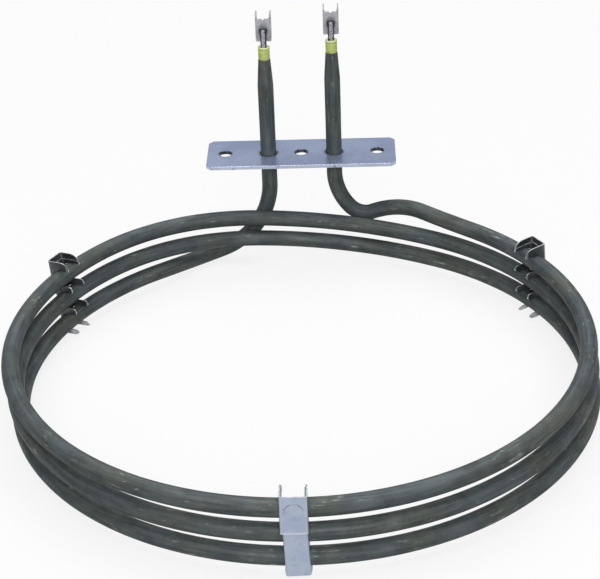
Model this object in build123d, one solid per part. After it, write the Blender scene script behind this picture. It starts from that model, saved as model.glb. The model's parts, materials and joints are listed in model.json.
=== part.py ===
"""Ring-shaped tubular heating element on a screw-down plate, in millimetres.

The origin is the middle of the plate's wall face, on the middle screw hole.
+X runs along the plate, +Z points from the wall face along the legs to the
terminals, and the ring lies on the -Y side, below the plate.
"""

from build123d import *
import math
import os

# Tube
TUBE_D = 6.5
LEG_BORE_D = 5.3
COLD_LENGTH = 48.0
TAPER_LENGTH = 11.3
TIP_D = 4.9
TIP_BORE_D = 3.9

# Ring: three flat turns joined by two long joggles at the back
RING_R = 105.3
TURNS = 3
PITCH = 9.54
TURN_DRIFT = 0.98
RING_SETBACK = 111.7
RING_DROP = 21.6
JOGGLE_START = 139.7
JOGGLE_END = 59.7

# Legs, above the wall face
LEG_SPACING = 27.2
LEFT_TIP_Z = 41.8
RIGHT_TIP_Z = 44.1

# Left foot: leg to lowest turn
LEFT_BEND_R = 30.0
LEFT_BEND_ANGLE = 73.0
LEFT_HEADING = 190.0
LEFT_BEND_RISE = 26.85
LEFT_JOIN = 126.4

# Right foot: leg to top turn, dipping below it first
RIGHT_BEND_R = 21.8
RIGHT_BEND_ANGLE = 44.7
RIGHT_TIGHT_R = 8.5
RIGHT_TIGHT_ANGLE = 70.0
RIGHT_HEADING = -13.4
RIGHT_BEND_RISE = 12.2
RIGHT_JOIN = 49.5

# Mounting plate
PLATE_LENGTH = 78.0
PLATE_WIDTH = 25.0
PLATE_THICKNESS = 1.5
PLATE_CORNER_CUT = 2.0
SCREW_HOLE_D = 5.3
SCREW_SPACING = 31.5
LEG_HOLE_CLEARANCE = 0.3

# Cold pins
PIN_D = 2.5
PIN_FLOOR = 2.0
LEFT_PIN_RISE = 12.8
RIGHT_PIN_RISE = 13.2
PIN_HEAD_WIDTH = 3.6
PIN_HEAD_THICKNESS = 1.5
PIN_HEAD_LENGTH = 4.6

# End seals
SEAL_BODY_D = 4.5
SEAL_RIM_D = 5.1
SEAL_RIM_HEIGHT = 1.0
SEAL_HEIGHT = 5.4
SEAL_SPIGOT_LENGTH = 4.0

# Terminals
TAB_WIDTH = 6.3
TAB_DEPTH = 6.3
TAB_SHEET = 0.8
TAB_RISE = 1.6
TAB_HEIGHT = 11.1
WEB_HEIGHT = 9.6
FOLD_R = 0.5
NOTCH_WIDTH = 1.5
NOTCH_DEPTH = 0.8
TAB_CORNER = 0.9

# Clips
CLIP_AZIMUTHS = {"front": 270.0, "rear_left": 151.4, "rear_right": 31.2}
CLIP_LEANS = {"front": 2.0, "rear_left": 0.0, "rear_right": 0.0}
CLIP_SHEET = 0.45
CLIP_BEND_R = 0.8
COMB_WIDTH = 8.0
COMB_RISE = 5.3
COMB_DROP = 5.3
COMB_REACH = 5.3
FINGER_TIP_CUT = 0.6
TONGUE_START = -1.2
TONGUE_END = 4.4
TONGUE_DROP = 4.1
TONGUE_FLARE = 50.0
CAP_RISE = 7.3
CAP_DROP = 7.2
CAP_REACH = 6.3
CAP_CREST = 2.5
CAP_TIP_RISE = 4.2
CAP_CREST_FALL = 0.25
CAP_SHOULDER = (1.2, 1.1)
CAP_LIP_END = -0.6
WELD_MARK_R = 3.2
WELD_MARK_DEPTH = 0.15
WELD_MARK_RISE = 0.8

# Clearances
PACK_CLEARANCE = 0.03
PIN_CLEARANCE = 0.03
SPIGOT_CLEARANCE = 0.05
WELD_GAP = 0.03
SLOT_CLEARANCE = 0.3
WEB_CLEARANCE = 0.2
NEST_SIDE = 0.3
NEST_BACK = 0.1

# How near an edge has to lie to a plane to be picked on it
TOUCH = 0.01

TUBE_R = TUBE_D / 2
LEG_X = LEG_SPACING / 2
SLOT_R = TUBE_R + SLOT_CLEARANCE
LAST_TURN = TURNS - 1


def turn_point(turn, azimuth):
    """Centre-line point of a turn, the azimuth counted from +X in degrees."""
    angle = math.radians(azimuth)
    x = turn * TURN_DRIFT + RING_R * math.cos(angle)
    y = RING_R * math.sin(angle) - RING_SETBACK
    return Vector(x, y, -RING_DROP - turn * PITCH)


def turn_heading(azimuth):
    """Direction of travel along a turn, clockwise seen from above."""
    angle = math.radians(azimuth)
    return Vector(math.sin(angle), -math.cos(angle), 0)


def biarc(start, start_dir, end, end_dir):
    """Two tangent arcs that leave start along start_dir and reach end along end_dir."""
    chord = end - start
    both = start_dir + end_dir
    straightness = 2 * (1 - start_dir.dot(end_dir))
    along = chord.dot(both)
    reach = (math.sqrt(along**2 + straightness * chord.dot(chord)) - along) / straightness
    middle = (start + end + (start_dir - end_dir) * reach) * 0.5
    first = Edge.make_tangent_arc(start, start_dir, middle)
    second = Edge.make_tangent_arc(middle, first % 1, end)
    return [first, second]


def falling_bend(start, heading, radius, from_angle, to_angle):
    """Arc in the upright plane of heading; its angles are counted from straight down."""
    level = Vector(math.cos(math.radians(heading)), math.sin(math.radians(heading)), 0)

    def direction(angle):
        swing = math.radians(angle)
        return level * math.sin(swing) - Vector(0, 0, math.cos(swing))

    turn_in = math.radians(from_angle)
    turn_out = math.radians(to_angle)
    across = radius * (math.cos(turn_in) - math.cos(turn_out))
    down = radius * (math.sin(turn_out) - math.sin(turn_in))
    end = start + level * across - Vector(0, 0, down)
    return Edge.make_tangent_arc(start, direction(from_angle), end), direction(to_angle)


def right_foot():
    """Edges from the right leg's taper down and round into the top turn."""
    top = Vector(LEG_X, 0, RIGHT_TIP_Z - TAPER_LENGTH)
    bottom = Vector(LEG_X, 0, RIGHT_BEND_RISE - RING_DROP)
    easy, _ = falling_bend(bottom, RIGHT_HEADING, RIGHT_BEND_R, 0, RIGHT_BEND_ANGLE)
    finish = RIGHT_BEND_ANGLE + RIGHT_TIGHT_ANGLE
    tight, heading = falling_bend(easy @ 1, RIGHT_HEADING, RIGHT_TIGHT_R, RIGHT_BEND_ANGLE, finish)
    join = biarc(tight @ 1, heading, turn_point(0, RIGHT_JOIN), turn_heading(RIGHT_JOIN))
    return [Edge.make_line(top, bottom), easy, tight, *join]


def left_foot():
    """Edges from the lowest turn up into the left leg's taper."""
    top = Vector(-LEG_X, 0, LEFT_TIP_Z - TAPER_LENGTH)
    bend_top = Vector(-LEG_X, 0, LEFT_BEND_RISE - RING_DROP - LAST_TURN * PITCH)
    bend, heading = falling_bend(bend_top, LEFT_HEADING, LEFT_BEND_R, 0, LEFT_BEND_ANGLE)
    start = turn_point(LAST_TURN, LEFT_JOIN)
    rising = biarc(start, turn_heading(LEFT_JOIN), bend @ 1, heading * -1)
    upward = Edge.make_tangent_arc(bend @ 1, heading * -1, bend_top)
    return [*rising, upward, Edge.make_line(bend_top, top)]


def ring_edges():
    """Edges of the flat turns and the joggles that drop from each turn to the next."""
    edges = []
    enter = RIGHT_JOIN
    for turn in range(TURNS):
        leave = LEFT_JOIN if turn == LAST_TURN else JOGGLE_START
        start = turn_point(turn, enter)
        end = turn_point(turn, leave)
        edges.append(Edge.make_tangent_arc(start, turn_heading(enter), end))
        if turn < LAST_TURN:
            landing = turn_point(turn + 1, JOGGLE_END)
            edges += biarc(end, turn_heading(leave), landing, turn_heading(JOGGLE_END))
        enter = JOGGLE_END
    return edges


def tube_route():
    """Whole centre line, from the right leg's taper to the left leg's."""
    return Wire([*right_foot(), *ring_edges(), *left_foot()])


def leg_solid(x, tip_z, radii, clearance=0.0):
    """Upright turned solid of a leg: (height from the tip, radius) pairs from top to bottom."""
    top = radii[0][0]
    low = radii[-1][0]
    outline = [(0, top), *[(radius - clearance, z) for z, radius in radii], (0, low)]
    with BuildPart() as turned:
        with BuildSketch(Plane.XZ):
            with BuildLine():
                Polyline(*outline, close=True)
            make_face()
        revolve(axis=Axis.Z)
    return Pos(x, 0, tip_z) * turned.part


def leg_bore(x, tip_z, clearance=0.0, top=0.0):
    """The hollow of a cold leg, or what fills it with a clearance."""
    shoulder = -TAPER_LENGTH - clearance
    profile = [
        (top, TIP_BORE_D / 2),
        (shoulder, TIP_BORE_D / 2),
        (shoulder, LEG_BORE_D / 2),
        (clearance - COLD_LENGTH, LEG_BORE_D / 2),
    ]
    return leg_solid(x, tip_z, profile, clearance)


def make_sheath():
    """Bent tube: solid-rolled round the ring, hollow in both cold legs."""
    route = tube_route()
    section = Plane(origin=route @ 0, z_dir=route % 0) * Circle(TUBE_R)
    tube = sweep(section, path=route)
    for x, tip_z in ((-LEG_X, LEFT_TIP_Z), (LEG_X, RIGHT_TIP_Z)):
        tube += leg_solid(x, tip_z, [(0, TIP_D / 2), (-TAPER_LENGTH, TUBE_R)])
    for x, tip_z in ((-LEG_X, LEFT_TIP_Z), (LEG_X, RIGHT_TIP_Z)):
        tube -= leg_bore(x, tip_z)
    return tube


def make_magnesia(x, tip_z):
    """Packed insulation that fills a cold leg's bore below the seal's spigot."""
    top = -SEAL_SPIGOT_LENGTH - PACK_CLEARANCE
    fill = leg_bore(x, tip_z, PACK_CLEARANCE, top)
    hole_floor = tip_z - COLD_LENGTH + PIN_FLOOR - PIN_CLEARANCE
    hole = Pos(x, 0, hole_floor) * Cylinder(
        PIN_D / 2 + PIN_CLEARANCE, COLD_LENGTH, align=(Align.CENTER, Align.CENTER, Align.MIN)
    )
    return fill - hole


def make_pin(x, tip_z, rise):
    """Cold pin: a round wire with a pressed flat head that lies on the terminal's web."""
    low = tip_z - COLD_LENGTH + PIN_FLOOR
    high = tip_z + rise
    shank_length = high - PIN_HEAD_LENGTH / 2 - low
    shank = Pos(x, 0, low) * Cylinder(
        PIN_D / 2, shank_length, align=(Align.CENTER, Align.CENTER, Align.MIN)
    )
    blank = SlotOverall(PIN_HEAD_LENGTH, PIN_HEAD_WIDTH, rotation=90)
    plane = Plane(origin=(x, PIN_D / 2, high - PIN_HEAD_LENGTH / 2), z_dir=(0, -1, 0), x_dir=(1, 0, 0))
    head = extrude(plane * blank, amount=PIN_HEAD_THICKNESS)
    front = Pos(x, PIN_D / 2 - PIN_HEAD_THICKNESS, high - PIN_HEAD_LENGTH / 2) * Box(
        PIN_HEAD_WIDTH, PIN_D, PIN_HEAD_LENGTH, align=(Align.CENTER, Align.MAX, Align.CENTER)
    )
    return shank - front + head


def make_seal(x, tip_z):
    """Bead seal: flanged body on the tube's tip, with a spigot in its mouth."""
    spigot = TIP_BORE_D / 2 - SPIGOT_CLEARANCE
    body = SEAL_BODY_D / 2
    rim = SEAL_RIM_D / 2
    rim_low = SEAL_HEIGHT - SEAL_RIM_HEIGHT
    profile = [
        (SEAL_HEIGHT, rim),
        (rim_low, rim),
        (rim_low, body),
        (0, body),
        (0, spigot),
        (-SEAL_SPIGOT_LENGTH, spigot),
    ]
    bead = leg_solid(x, tip_z, profile)
    hole = Pos(x, 0, tip_z) * Cylinder(PIN_D / 2 + PIN_CLEARANCE, 4 * SEAL_HEIGHT)
    return bead - hole


def make_terminal(x, tip_z):
    """Folded flat-tab terminal: a notched web in front, a tab bent back on each side."""
    low = tip_z + SEAL_HEIGHT + TAB_RISE
    front = PIN_D / 2 + WELD_GAP
    half = TAB_WIDTH / 2
    with BuildPart() as folded:
        with BuildSketch(Plane.XY.offset(low)):
            with Locations((x, front)):
                Rectangle(TAB_WIDTH, TAB_DEPTH, align=(Align.CENTER, Align.MIN))
            with Locations((x, front + TAB_SHEET)):
                channel = (TAB_WIDTH - 2 * TAB_SHEET, TAB_DEPTH)
                Rectangle(*channel, align=(Align.CENTER, Align.MIN), mode=Mode.SUBTRACT)
        extrude(amount=TAB_HEIGHT)
        fillet(folded.edges().filter_by(Axis.Z).sort_by(Axis.Y)[:2], FOLD_R)
        with BuildSketch(Plane(origin=(x, 0, low), x_dir=(1, 0, 0), z_dir=(0, -1, 0))):
            web_top = WEB_HEIGHT - NOTCH_DEPTH
            inner = half - TAB_SHEET
            with BuildLine():
                Polyline(
                    (-inner, TAB_HEIGHT),
                    (-inner, WEB_HEIGHT),
                    (-NOTCH_WIDTH / 2, WEB_HEIGHT),
                    (0, web_top),
                    (NOTCH_WIDTH / 2, WEB_HEIGHT),
                    (inner, WEB_HEIGHT),
                    (inner, TAB_HEIGHT),
                    close=True,
                )
            make_face()
        extrude(amount=-2 * TAB_DEPTH, mode=Mode.SUBTRACT)
        tab_ends = folded.edges().filter_by(Axis.X).filter_by_position(
            Axis.Y, front + TAB_DEPTH - TOUCH, front + TAB_DEPTH + TOUCH
        )
        chamfer(tab_ends, TAB_CORNER)
    return folded.part


def make_plate():
    """Flat plate with three screw holes in a line and a hole for each leg."""
    with BuildPart() as plate:
        with BuildSketch(Plane.XY.offset(-PLATE_THICKNESS)) as plate_sketch:
            Rectangle(PLATE_LENGTH, PLATE_WIDTH)
            chamfer(plate_sketch.vertices(), PLATE_CORNER_CUT)
            with Locations((-SCREW_SPACING, 0), (0, 0), (SCREW_SPACING, 0)):
                Circle(SCREW_HOLE_D / 2, mode=Mode.SUBTRACT)
            with Locations((-LEG_X, 0), (LEG_X, 0)):
                Circle(TUBE_R + LEG_HOLE_CLEARANCE, mode=Mode.SUBTRACT)
        extrude(amount=PLATE_THICKNESS)
    return plate.part


def clip_frame(azimuth, lean):
    """Clip axes at the top turn: x inward, y along the tube, z up the tube centres."""
    top = turn_point(0, azimuth)
    angle = math.radians(azimuth)
    outward = Vector(math.cos(angle), math.sin(angle), 0)
    sideways = Vector(-math.sin(angle), math.cos(angle), 0)
    drift = TURN_DRIFT * math.cos(angle)
    up = (Vector(0, 0, PITCH) - outward * drift).normalized()
    inward = up.cross(sideways)
    return Plane(origin=top, x_dir=inward, z_dir=up) * Rot(lean, 0, 0)


def channel(width, back, reach, low, high):
    """Folded U of clip sheet along local z: web at the back, open towards +x."""
    with BuildPart() as folded:
        with BuildSketch(Plane.XY.offset(low)):
            with Locations(((back + reach) / 2, 0)):
                Rectangle(reach - back, width)
        extrude(amount=high - low)
        corners = folded.edges().filter_by(Axis.Z).sort_by(Axis.X)[:2]
        fillet(corners, CLIP_BEND_R)
        with BuildSketch(Plane.XY.offset(low)) as hollow:
            with Locations(((back + reach) / 2 + CLIP_SHEET, 0)):
                Rectangle(reach - back, width - 2 * CLIP_SHEET)
            inner = hollow.vertices().sort_by(Axis.X)[:2]
            fillet(inner, CLIP_BEND_R - CLIP_SHEET)
        extrude(amount=high - low, mode=Mode.SUBTRACT)
    return folded.part


def side_cut(outline, width, back):
    """Both side walls' waste: an outline in local x and z, kept off the web between them."""
    waste = extrude(Plane.XZ * outline, amount=width, both=True)
    web_keep = Pos(back + CLIP_SHEET / 2, 0, 0) * Box(
        CLIP_SHEET, width - 2 * CLIP_BEND_R, 8 * TURNS * PITCH
    )
    return waste - web_keep


def slot(centre_z, length):
    """Open slot that a turn slides into, with a round end behind the tube."""
    mouth = Pos(length / 2, centre_z) * Rectangle(length, 2 * SLOT_R)
    return Pos(0, centre_z) * Circle(SLOT_R) + mouth


def make_comb(azimuth, lean):
    """Inner comb: fingers above and between the turns, flared tongues to stand on."""
    back = -TUBE_R - WEB_CLEARANCE - CLIP_SHEET
    drop = math.hypot(PITCH, TURN_DRIFT * math.cos(math.radians(azimuth)))
    last_z = -LAST_TURN * drop
    low = last_z - COMB_DROP
    comb = channel(COMB_WIDTH, back, COMB_REACH, low, COMB_RISE)
    waste = Sketch()
    for turn in range(TURNS):
        waste += slot(-turn * drop, 2 * COMB_REACH)
    tongue_z = last_z - TONGUE_DROP
    tongue_cut = Pos((TONGUE_START + 2 * COMB_REACH) / 2, (tongue_z + low) / 2 - COMB_DROP / 2)
    waste += tongue_cut * Rectangle(2 * COMB_REACH - TONGUE_START, COMB_DROP + tongue_z - low)
    beyond = Pos(COMB_REACH, (last_z - SLOT_R + low) / 2)
    waste += beyond * Rectangle(2 * (COMB_REACH - TONGUE_END), low - last_z + SLOT_R)
    comb -= side_cut(waste, COMB_WIDTH, back)
    across = comb.edges().filter_by(Axis.Y)
    tips = across.filter_by_position(Axis.X, COMB_REACH - TOUCH, COMB_REACH + TOUCH)
    comb = chamfer(tips, FINGER_TIP_CUT)
    outer = COMB_WIDTH / 2
    slope = math.tan(math.radians(TONGUE_FLARE))
    flare = (tongue_z - low) * slope
    thick = CLIP_SHEET / math.cos(math.radians(TONGUE_FLARE))
    inner_bend = tongue_z - (thick - CLIP_SHEET) / slope
    plane = Plane(origin=(TONGUE_START, 0, 0), x_dir=(0, 1, 0), z_dir=(1, 0, 0))
    for side in (-1, 1):
        profile = Polygon(
            (side * (outer - CLIP_SHEET), tongue_z),
            (side * outer, tongue_z),
            (side * (outer + flare), low),
            (side * (outer + flare - thick), low),
            (side * (outer - CLIP_SHEET), inner_bend),
            align=None,
        )
        comb += extrude(plane * profile, amount=TONGUE_END - TONGUE_START)
    return clip_frame(azimuth, lean) * comb


def make_cap(azimuth):
    """Outer cap: a second folded U over the comb's upper half, with a pressed weld mark."""
    comb_back = -TUBE_R - WEB_CLEARANCE - CLIP_SHEET
    back = comb_back - NEST_BACK - CLIP_SHEET
    width = COMB_WIDTH + 2 * (NEST_SIDE + CLIP_SHEET)
    drop = math.hypot(PITCH, TURN_DRIFT * math.cos(math.radians(azimuth)))
    cap = channel(width, back, CAP_REACH, -CAP_DROP, CAP_RISE)
    waste = slot(0, 2 * CAP_REACH) + slot(-drop, 2 * CAP_REACH)
    low_zone = Pos((CAP_LIP_END + 2 * CAP_REACH) / 2, -CAP_DROP / 2)
    waste += low_zone * Rectangle(2 * CAP_REACH - CAP_LIP_END, CAP_DROP)
    with BuildSketch() as crest:
        with BuildLine():
            crest_start = (CAP_CREST, CAP_RISE - CAP_CREST_FALL)
            shoulder = (CAP_REACH - CAP_SHOULDER[0], CAP_RISE - CAP_SHOULDER[1])
            arc = ThreePointArc(crest_start, shoulder, (CAP_REACH, CAP_TIP_RISE))
            Polyline(arc @ 1, (2 * CAP_REACH, CAP_TIP_RISE), (2 * CAP_REACH, 2 * CAP_RISE), (back, 2 * CAP_RISE))
            Polyline((back, 2 * CAP_RISE), (back, CAP_RISE), arc @ 0)
        make_face()
    waste += crest.sketch
    cap -= side_cut(waste, width, back)
    mark = Pos(back, 0, WELD_MARK_RISE) * Rot(0, 90, 0) * Cylinder(WELD_MARK_R, 2 * WELD_MARK_DEPTH)
    cap -= mark
    return clip_frame(azimuth, 0) * cap


def make_nodes():
    """Every piece of the element under its own name."""
    nodes = {"sheath_tube": make_sheath(), "mounting_plate": make_plate()}
    legs = {"left": (-LEG_X, LEFT_TIP_Z, LEFT_PIN_RISE), "right": (LEG_X, RIGHT_TIP_Z, RIGHT_PIN_RISE)}
    for side, (x, tip_z, pin_rise) in legs.items():
        nodes[f"magnesia_{side}"] = make_magnesia(x, tip_z)
        nodes[f"cold_pin_{side}"] = make_pin(x, tip_z, pin_rise)
        nodes[f"end_seal_{side}"] = make_seal(x, tip_z)
        nodes[f"terminal_{side}"] = make_terminal(x, tip_z)
    for place, azimuth in CLIP_AZIMUTHS.items():
        nodes[f"clip_comb_{place}"] = make_comb(azimuth, CLIP_LEANS[place])
        nodes[f"clip_cap_{place}"] = make_cap(azimuth)
    return nodes


os.makedirs("parts", exist_ok=True)
for name, shape in make_nodes().items():
    export_step(shape, f"parts/{name}.step")
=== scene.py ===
"""Looks of a ring-shaped tubular heating element: fine meshes, finishes, light and camera."""

from __future__ import annotations

import json
import logging
import math
from dataclasses import dataclass, field
from enum import Enum
from typing import Any, Callable, Union

import bmesh
import bpy
from mathutils import Matrix, Vector

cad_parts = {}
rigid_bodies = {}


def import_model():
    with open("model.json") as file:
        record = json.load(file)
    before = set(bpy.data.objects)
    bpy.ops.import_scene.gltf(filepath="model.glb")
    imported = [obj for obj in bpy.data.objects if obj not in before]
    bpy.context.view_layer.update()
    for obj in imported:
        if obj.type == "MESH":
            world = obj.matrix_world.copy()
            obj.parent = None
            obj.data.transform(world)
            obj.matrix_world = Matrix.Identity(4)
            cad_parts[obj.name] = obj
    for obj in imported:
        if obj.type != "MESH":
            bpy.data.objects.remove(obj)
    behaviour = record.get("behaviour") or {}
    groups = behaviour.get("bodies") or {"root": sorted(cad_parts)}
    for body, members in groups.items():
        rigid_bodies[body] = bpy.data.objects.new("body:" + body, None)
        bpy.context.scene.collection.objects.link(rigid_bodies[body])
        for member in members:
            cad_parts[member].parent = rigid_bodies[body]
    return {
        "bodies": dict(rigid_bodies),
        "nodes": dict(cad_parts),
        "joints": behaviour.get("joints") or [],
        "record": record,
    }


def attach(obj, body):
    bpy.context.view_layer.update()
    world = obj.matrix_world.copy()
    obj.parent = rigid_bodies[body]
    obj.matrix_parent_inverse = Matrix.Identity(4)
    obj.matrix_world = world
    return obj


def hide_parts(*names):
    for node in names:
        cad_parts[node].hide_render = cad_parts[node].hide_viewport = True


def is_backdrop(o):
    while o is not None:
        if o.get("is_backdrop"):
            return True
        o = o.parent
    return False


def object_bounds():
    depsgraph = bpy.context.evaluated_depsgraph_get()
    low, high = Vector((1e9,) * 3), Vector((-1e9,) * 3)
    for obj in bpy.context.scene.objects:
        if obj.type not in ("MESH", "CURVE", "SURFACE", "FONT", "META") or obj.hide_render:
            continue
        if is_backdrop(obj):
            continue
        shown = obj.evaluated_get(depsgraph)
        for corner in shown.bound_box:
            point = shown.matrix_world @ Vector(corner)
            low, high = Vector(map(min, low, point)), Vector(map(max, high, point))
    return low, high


LOG = logging.getLogger("heating_element")
MM = 0.001
BODY = "root"
TUBE_ATTRIBUTE = "tube_place"
CUT_ATTRIBUTE = "cut_edge"
SHEET_ATTRIBUTE = "sheet_place"
CROWN_ATTRIBUTE = "crown"
SHARP_ANGLE = 50.0
Value = Union["Wire", float, int]
Pair = tuple[float, float]
Triple = tuple[float, float, float]
Edge = Callable[[float, float], float]


# ---------------------------------------------------------------- shader maths


class Wire:
    """A shader socket that adds Math nodes when it is used in an expression."""

    def __init__(self, graph: "Graph", socket: bpy.types.NodeSocket | None) -> None:
        """Keeps the socket and the tree it belongs to.

        Args:
            graph: The node tree under construction.
            socket: The output that carries the value; a closing node has none.
        """
        self.graph = graph
        self.socket = socket

    def _math(self, operation: str, *values: Value) -> "Wire":
        """Adds one Math node on the values in order."""
        inputs = dict(enumerate(values))
        return self.graph.node("ShaderNodeMath", {"operation": operation}, inputs)

    def __add__(self, other: Value) -> "Wire":
        """Sum."""
        return self._math("ADD", self, other)

    def __radd__(self, other: Value) -> "Wire":
        """Sum with the number first."""
        return self._math("ADD", other, self)

    def __sub__(self, other: Value) -> "Wire":
        """Difference."""
        return self._math("SUBTRACT", self, other)

    def __rsub__(self, other: Value) -> "Wire":
        """Difference with the number first."""
        return self._math("SUBTRACT", other, self)

    def __mul__(self, other: Value) -> "Wire":
        """Product."""
        return self._math("MULTIPLY", self, other)

    def __rmul__(self, other: Value) -> "Wire":
        """Product with the number first."""
        return self._math("MULTIPLY", other, self)

    def band(self, low: float, high: float) -> "Wire":
        """Smooth rise from 0 at the low value to 1 at the high one."""
        settings = {"interpolation_type": "SMOOTHSTEP"}
        return self.graph.node("ShaderNodeMapRange", settings, {0: self, 1: low, 2: high})


class Graph:
    """The node tree of a material or of the world, with one way to add a node."""

    def __init__(self, tree: bpy.types.NodeTree) -> None:
        """Empties the tree.

        Args:
            tree: The tree to fill.
        """
        self.tree = tree
        self.tree.nodes.clear()

    def node(
        self,
        kind: str,
        settings: dict[str, Any] | None = None,
        inputs: dict[Any, Any] | None = None,
        output: int | str = 0,
    ) -> Wire:
        """Adds a node, sets it, then links or fills its sockets.

        Args:
            kind: The node's type.
            settings: Properties set before the sockets.
            inputs: Values or wires by socket name or number.
            output: Which output to hand on.

        Returns:
            The chosen output, or an empty wire from a closing node.
        """
        made = self.tree.nodes.new(kind)
        for key, value in (settings or {}).items():
            setattr(made, key, value)
        for key, value in (inputs or {}).items():
            if isinstance(value, Wire):
                self.tree.links.new(value.socket, made.inputs[key])
            else:
                made.inputs[key].default_value = value
        return Wire(self, made.outputs[output] if made.outputs else None)


class Shader(Graph):
    """One node material."""

    def __init__(self, name: str) -> None:
        """Starts an empty material.

        Args:
            name: The material's name.
        """
        self.material = bpy.data.materials.new(name)
        self.material.use_nodes = True
        super().__init__(self.material.node_tree)

    def mix(self, low: Any, high: Any, factor: Value) -> Wire:
        """Blends two colours.

        Args:
            low: Colour at factor 0, as a wire or an RGBA tuple.
            high: Colour at factor 1.
            factor: The share of the second colour.

        Returns:
            The blend.
        """
        settings = {"data_type": "RGBA", "blend_type": "MIX"}
        return self.node("ShaderNodeMix", settings, {0: factor, 6: low, 7: high}, output=2)

    def vector(self, operation: str, *values: Any, output: int | str = 0) -> Wire:
        """Adds one Vector Math node.

        Args:
            operation: Blender's name of the operation.
            values: Its operands in order.
            output: Which output to hand on.

        Returns:
            The result.
        """
        inputs = dict(enumerate(values))
        return self.node("ShaderNodeVectorMath", {"operation": operation}, inputs, output)

    def stretched(self, place: Wire, scale: Triple) -> Wire:
        """A lookup place scaled along each axis."""
        return self.vector("MULTIPLY", place, scale)

    def folded(self, place: Wire) -> Wire:
        """A place mirrored onto the positive side of every axis."""
        return self.vector("ABSOLUTE", place)

    def distance(self, place: Wire, point: Triple) -> Wire:
        """Distance of a place from a fixed point."""
        return self.vector("DISTANCE", place, point, output="Value")

    def axis(self, place: Wire, letter: str) -> Wire:
        """One component of a place."""
        return self.node("ShaderNodeSeparateXYZ", {}, {0: place}, letter)

    def object_place(self) -> Wire:
        """The point's place in the part's own frame."""
        return self.node("ShaderNodeTexCoord", output="Object")

    def attribute(self, name: str, output: str) -> Wire:
        """A mesh attribute, from its Vector or its Fac output."""
        return self.node("ShaderNodeAttribute", {"attribute_name": name}, output=output)

    def bump(self, height: Wire, depth: float) -> Wire:
        """Normal bent by a relief from 0 to 1 of a depth in metres."""
        return self.node("ShaderNodeBump", {}, {"Distance": depth, "Height": height}, "Normal")

    def close(self, surface: Wire) -> bpy.types.Material:
        """Ends the material in its output and hands it over."""
        self.node("ShaderNodeOutputMaterial", {}, {"Surface": surface})
        return self.material

    def surface(self, **sockets: Any) -> bpy.types.Material:
        """Closes the material with a Principled surface.

        Args:
            sockets: Values or wires by socket name, with underscores for spaces.

        Returns:
            The finished material.
        """
        inputs = {name.replace("_", " "): value for name, value in sockets.items()}
        return self.close(self.node("ShaderNodeBsdfPrincipled", {}, inputs))


@dataclass(frozen=True)
class Noise:
    """A noise pattern with its cells per metre, even or along each axis."""

    cells: float | Triple
    octaves: float = 3.0
    roughness: float = 0.5
    band: Pair | None = None

    def on(self, shader: Shader, place: Wire) -> Wire:
        """Adds the pattern to a material.

        Args:
            shader: The material.
            place: Where to look it up.

        Returns:
            Its value from 0 to 1, sharpened where it has a band.
        """
        scale = self.cells
        if isinstance(scale, tuple):
            place = shader.stretched(place, scale)
            scale = 1.0
        inputs = {
            "Vector": place,
            "Scale": scale,
            "Detail": self.octaves,
            "Roughness": self.roughness,
        }
        value = shader.node("ShaderNodeTexNoise", {}, inputs)
        return value.band(*self.band) if self.band else value


@dataclass(frozen=True)
class Colour:
    """A display colour, each channel from 0 to 255."""

    red: float
    green: float
    blue: float

    @property
    def rgba(self) -> tuple[float, float, float, float]:
        """The colour in linear light, with full alpha."""
        channels = (self.red, self.green, self.blue)
        return (*(self._linear(channel / 255) for channel in channels), 1.0)

    @staticmethod
    def _linear(value: float) -> float:
        """Display value to linear light, by the sRGB curve.

        Args:
            value: Display value from 0 to 1.

        Returns:
            The linear value.
        """
        if value <= 0.04045:
            return value / 12.92
        return ((value + 0.055) / 1.055) ** 2.4


CUT_COLOUR = Colour(208, 212, 216)
# Dark of the weld print, also used as painted shade on its upper sides.
WELD_PRINT_AND_SHADE_COLOUR = Colour(66, 72, 86)
# Painted shade for the clips' side walls.
PAINTED_WALL_SHADE_COLOUR = Colour(112, 114, 112)


# -------------------------------------------------------------------- finishes


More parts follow.
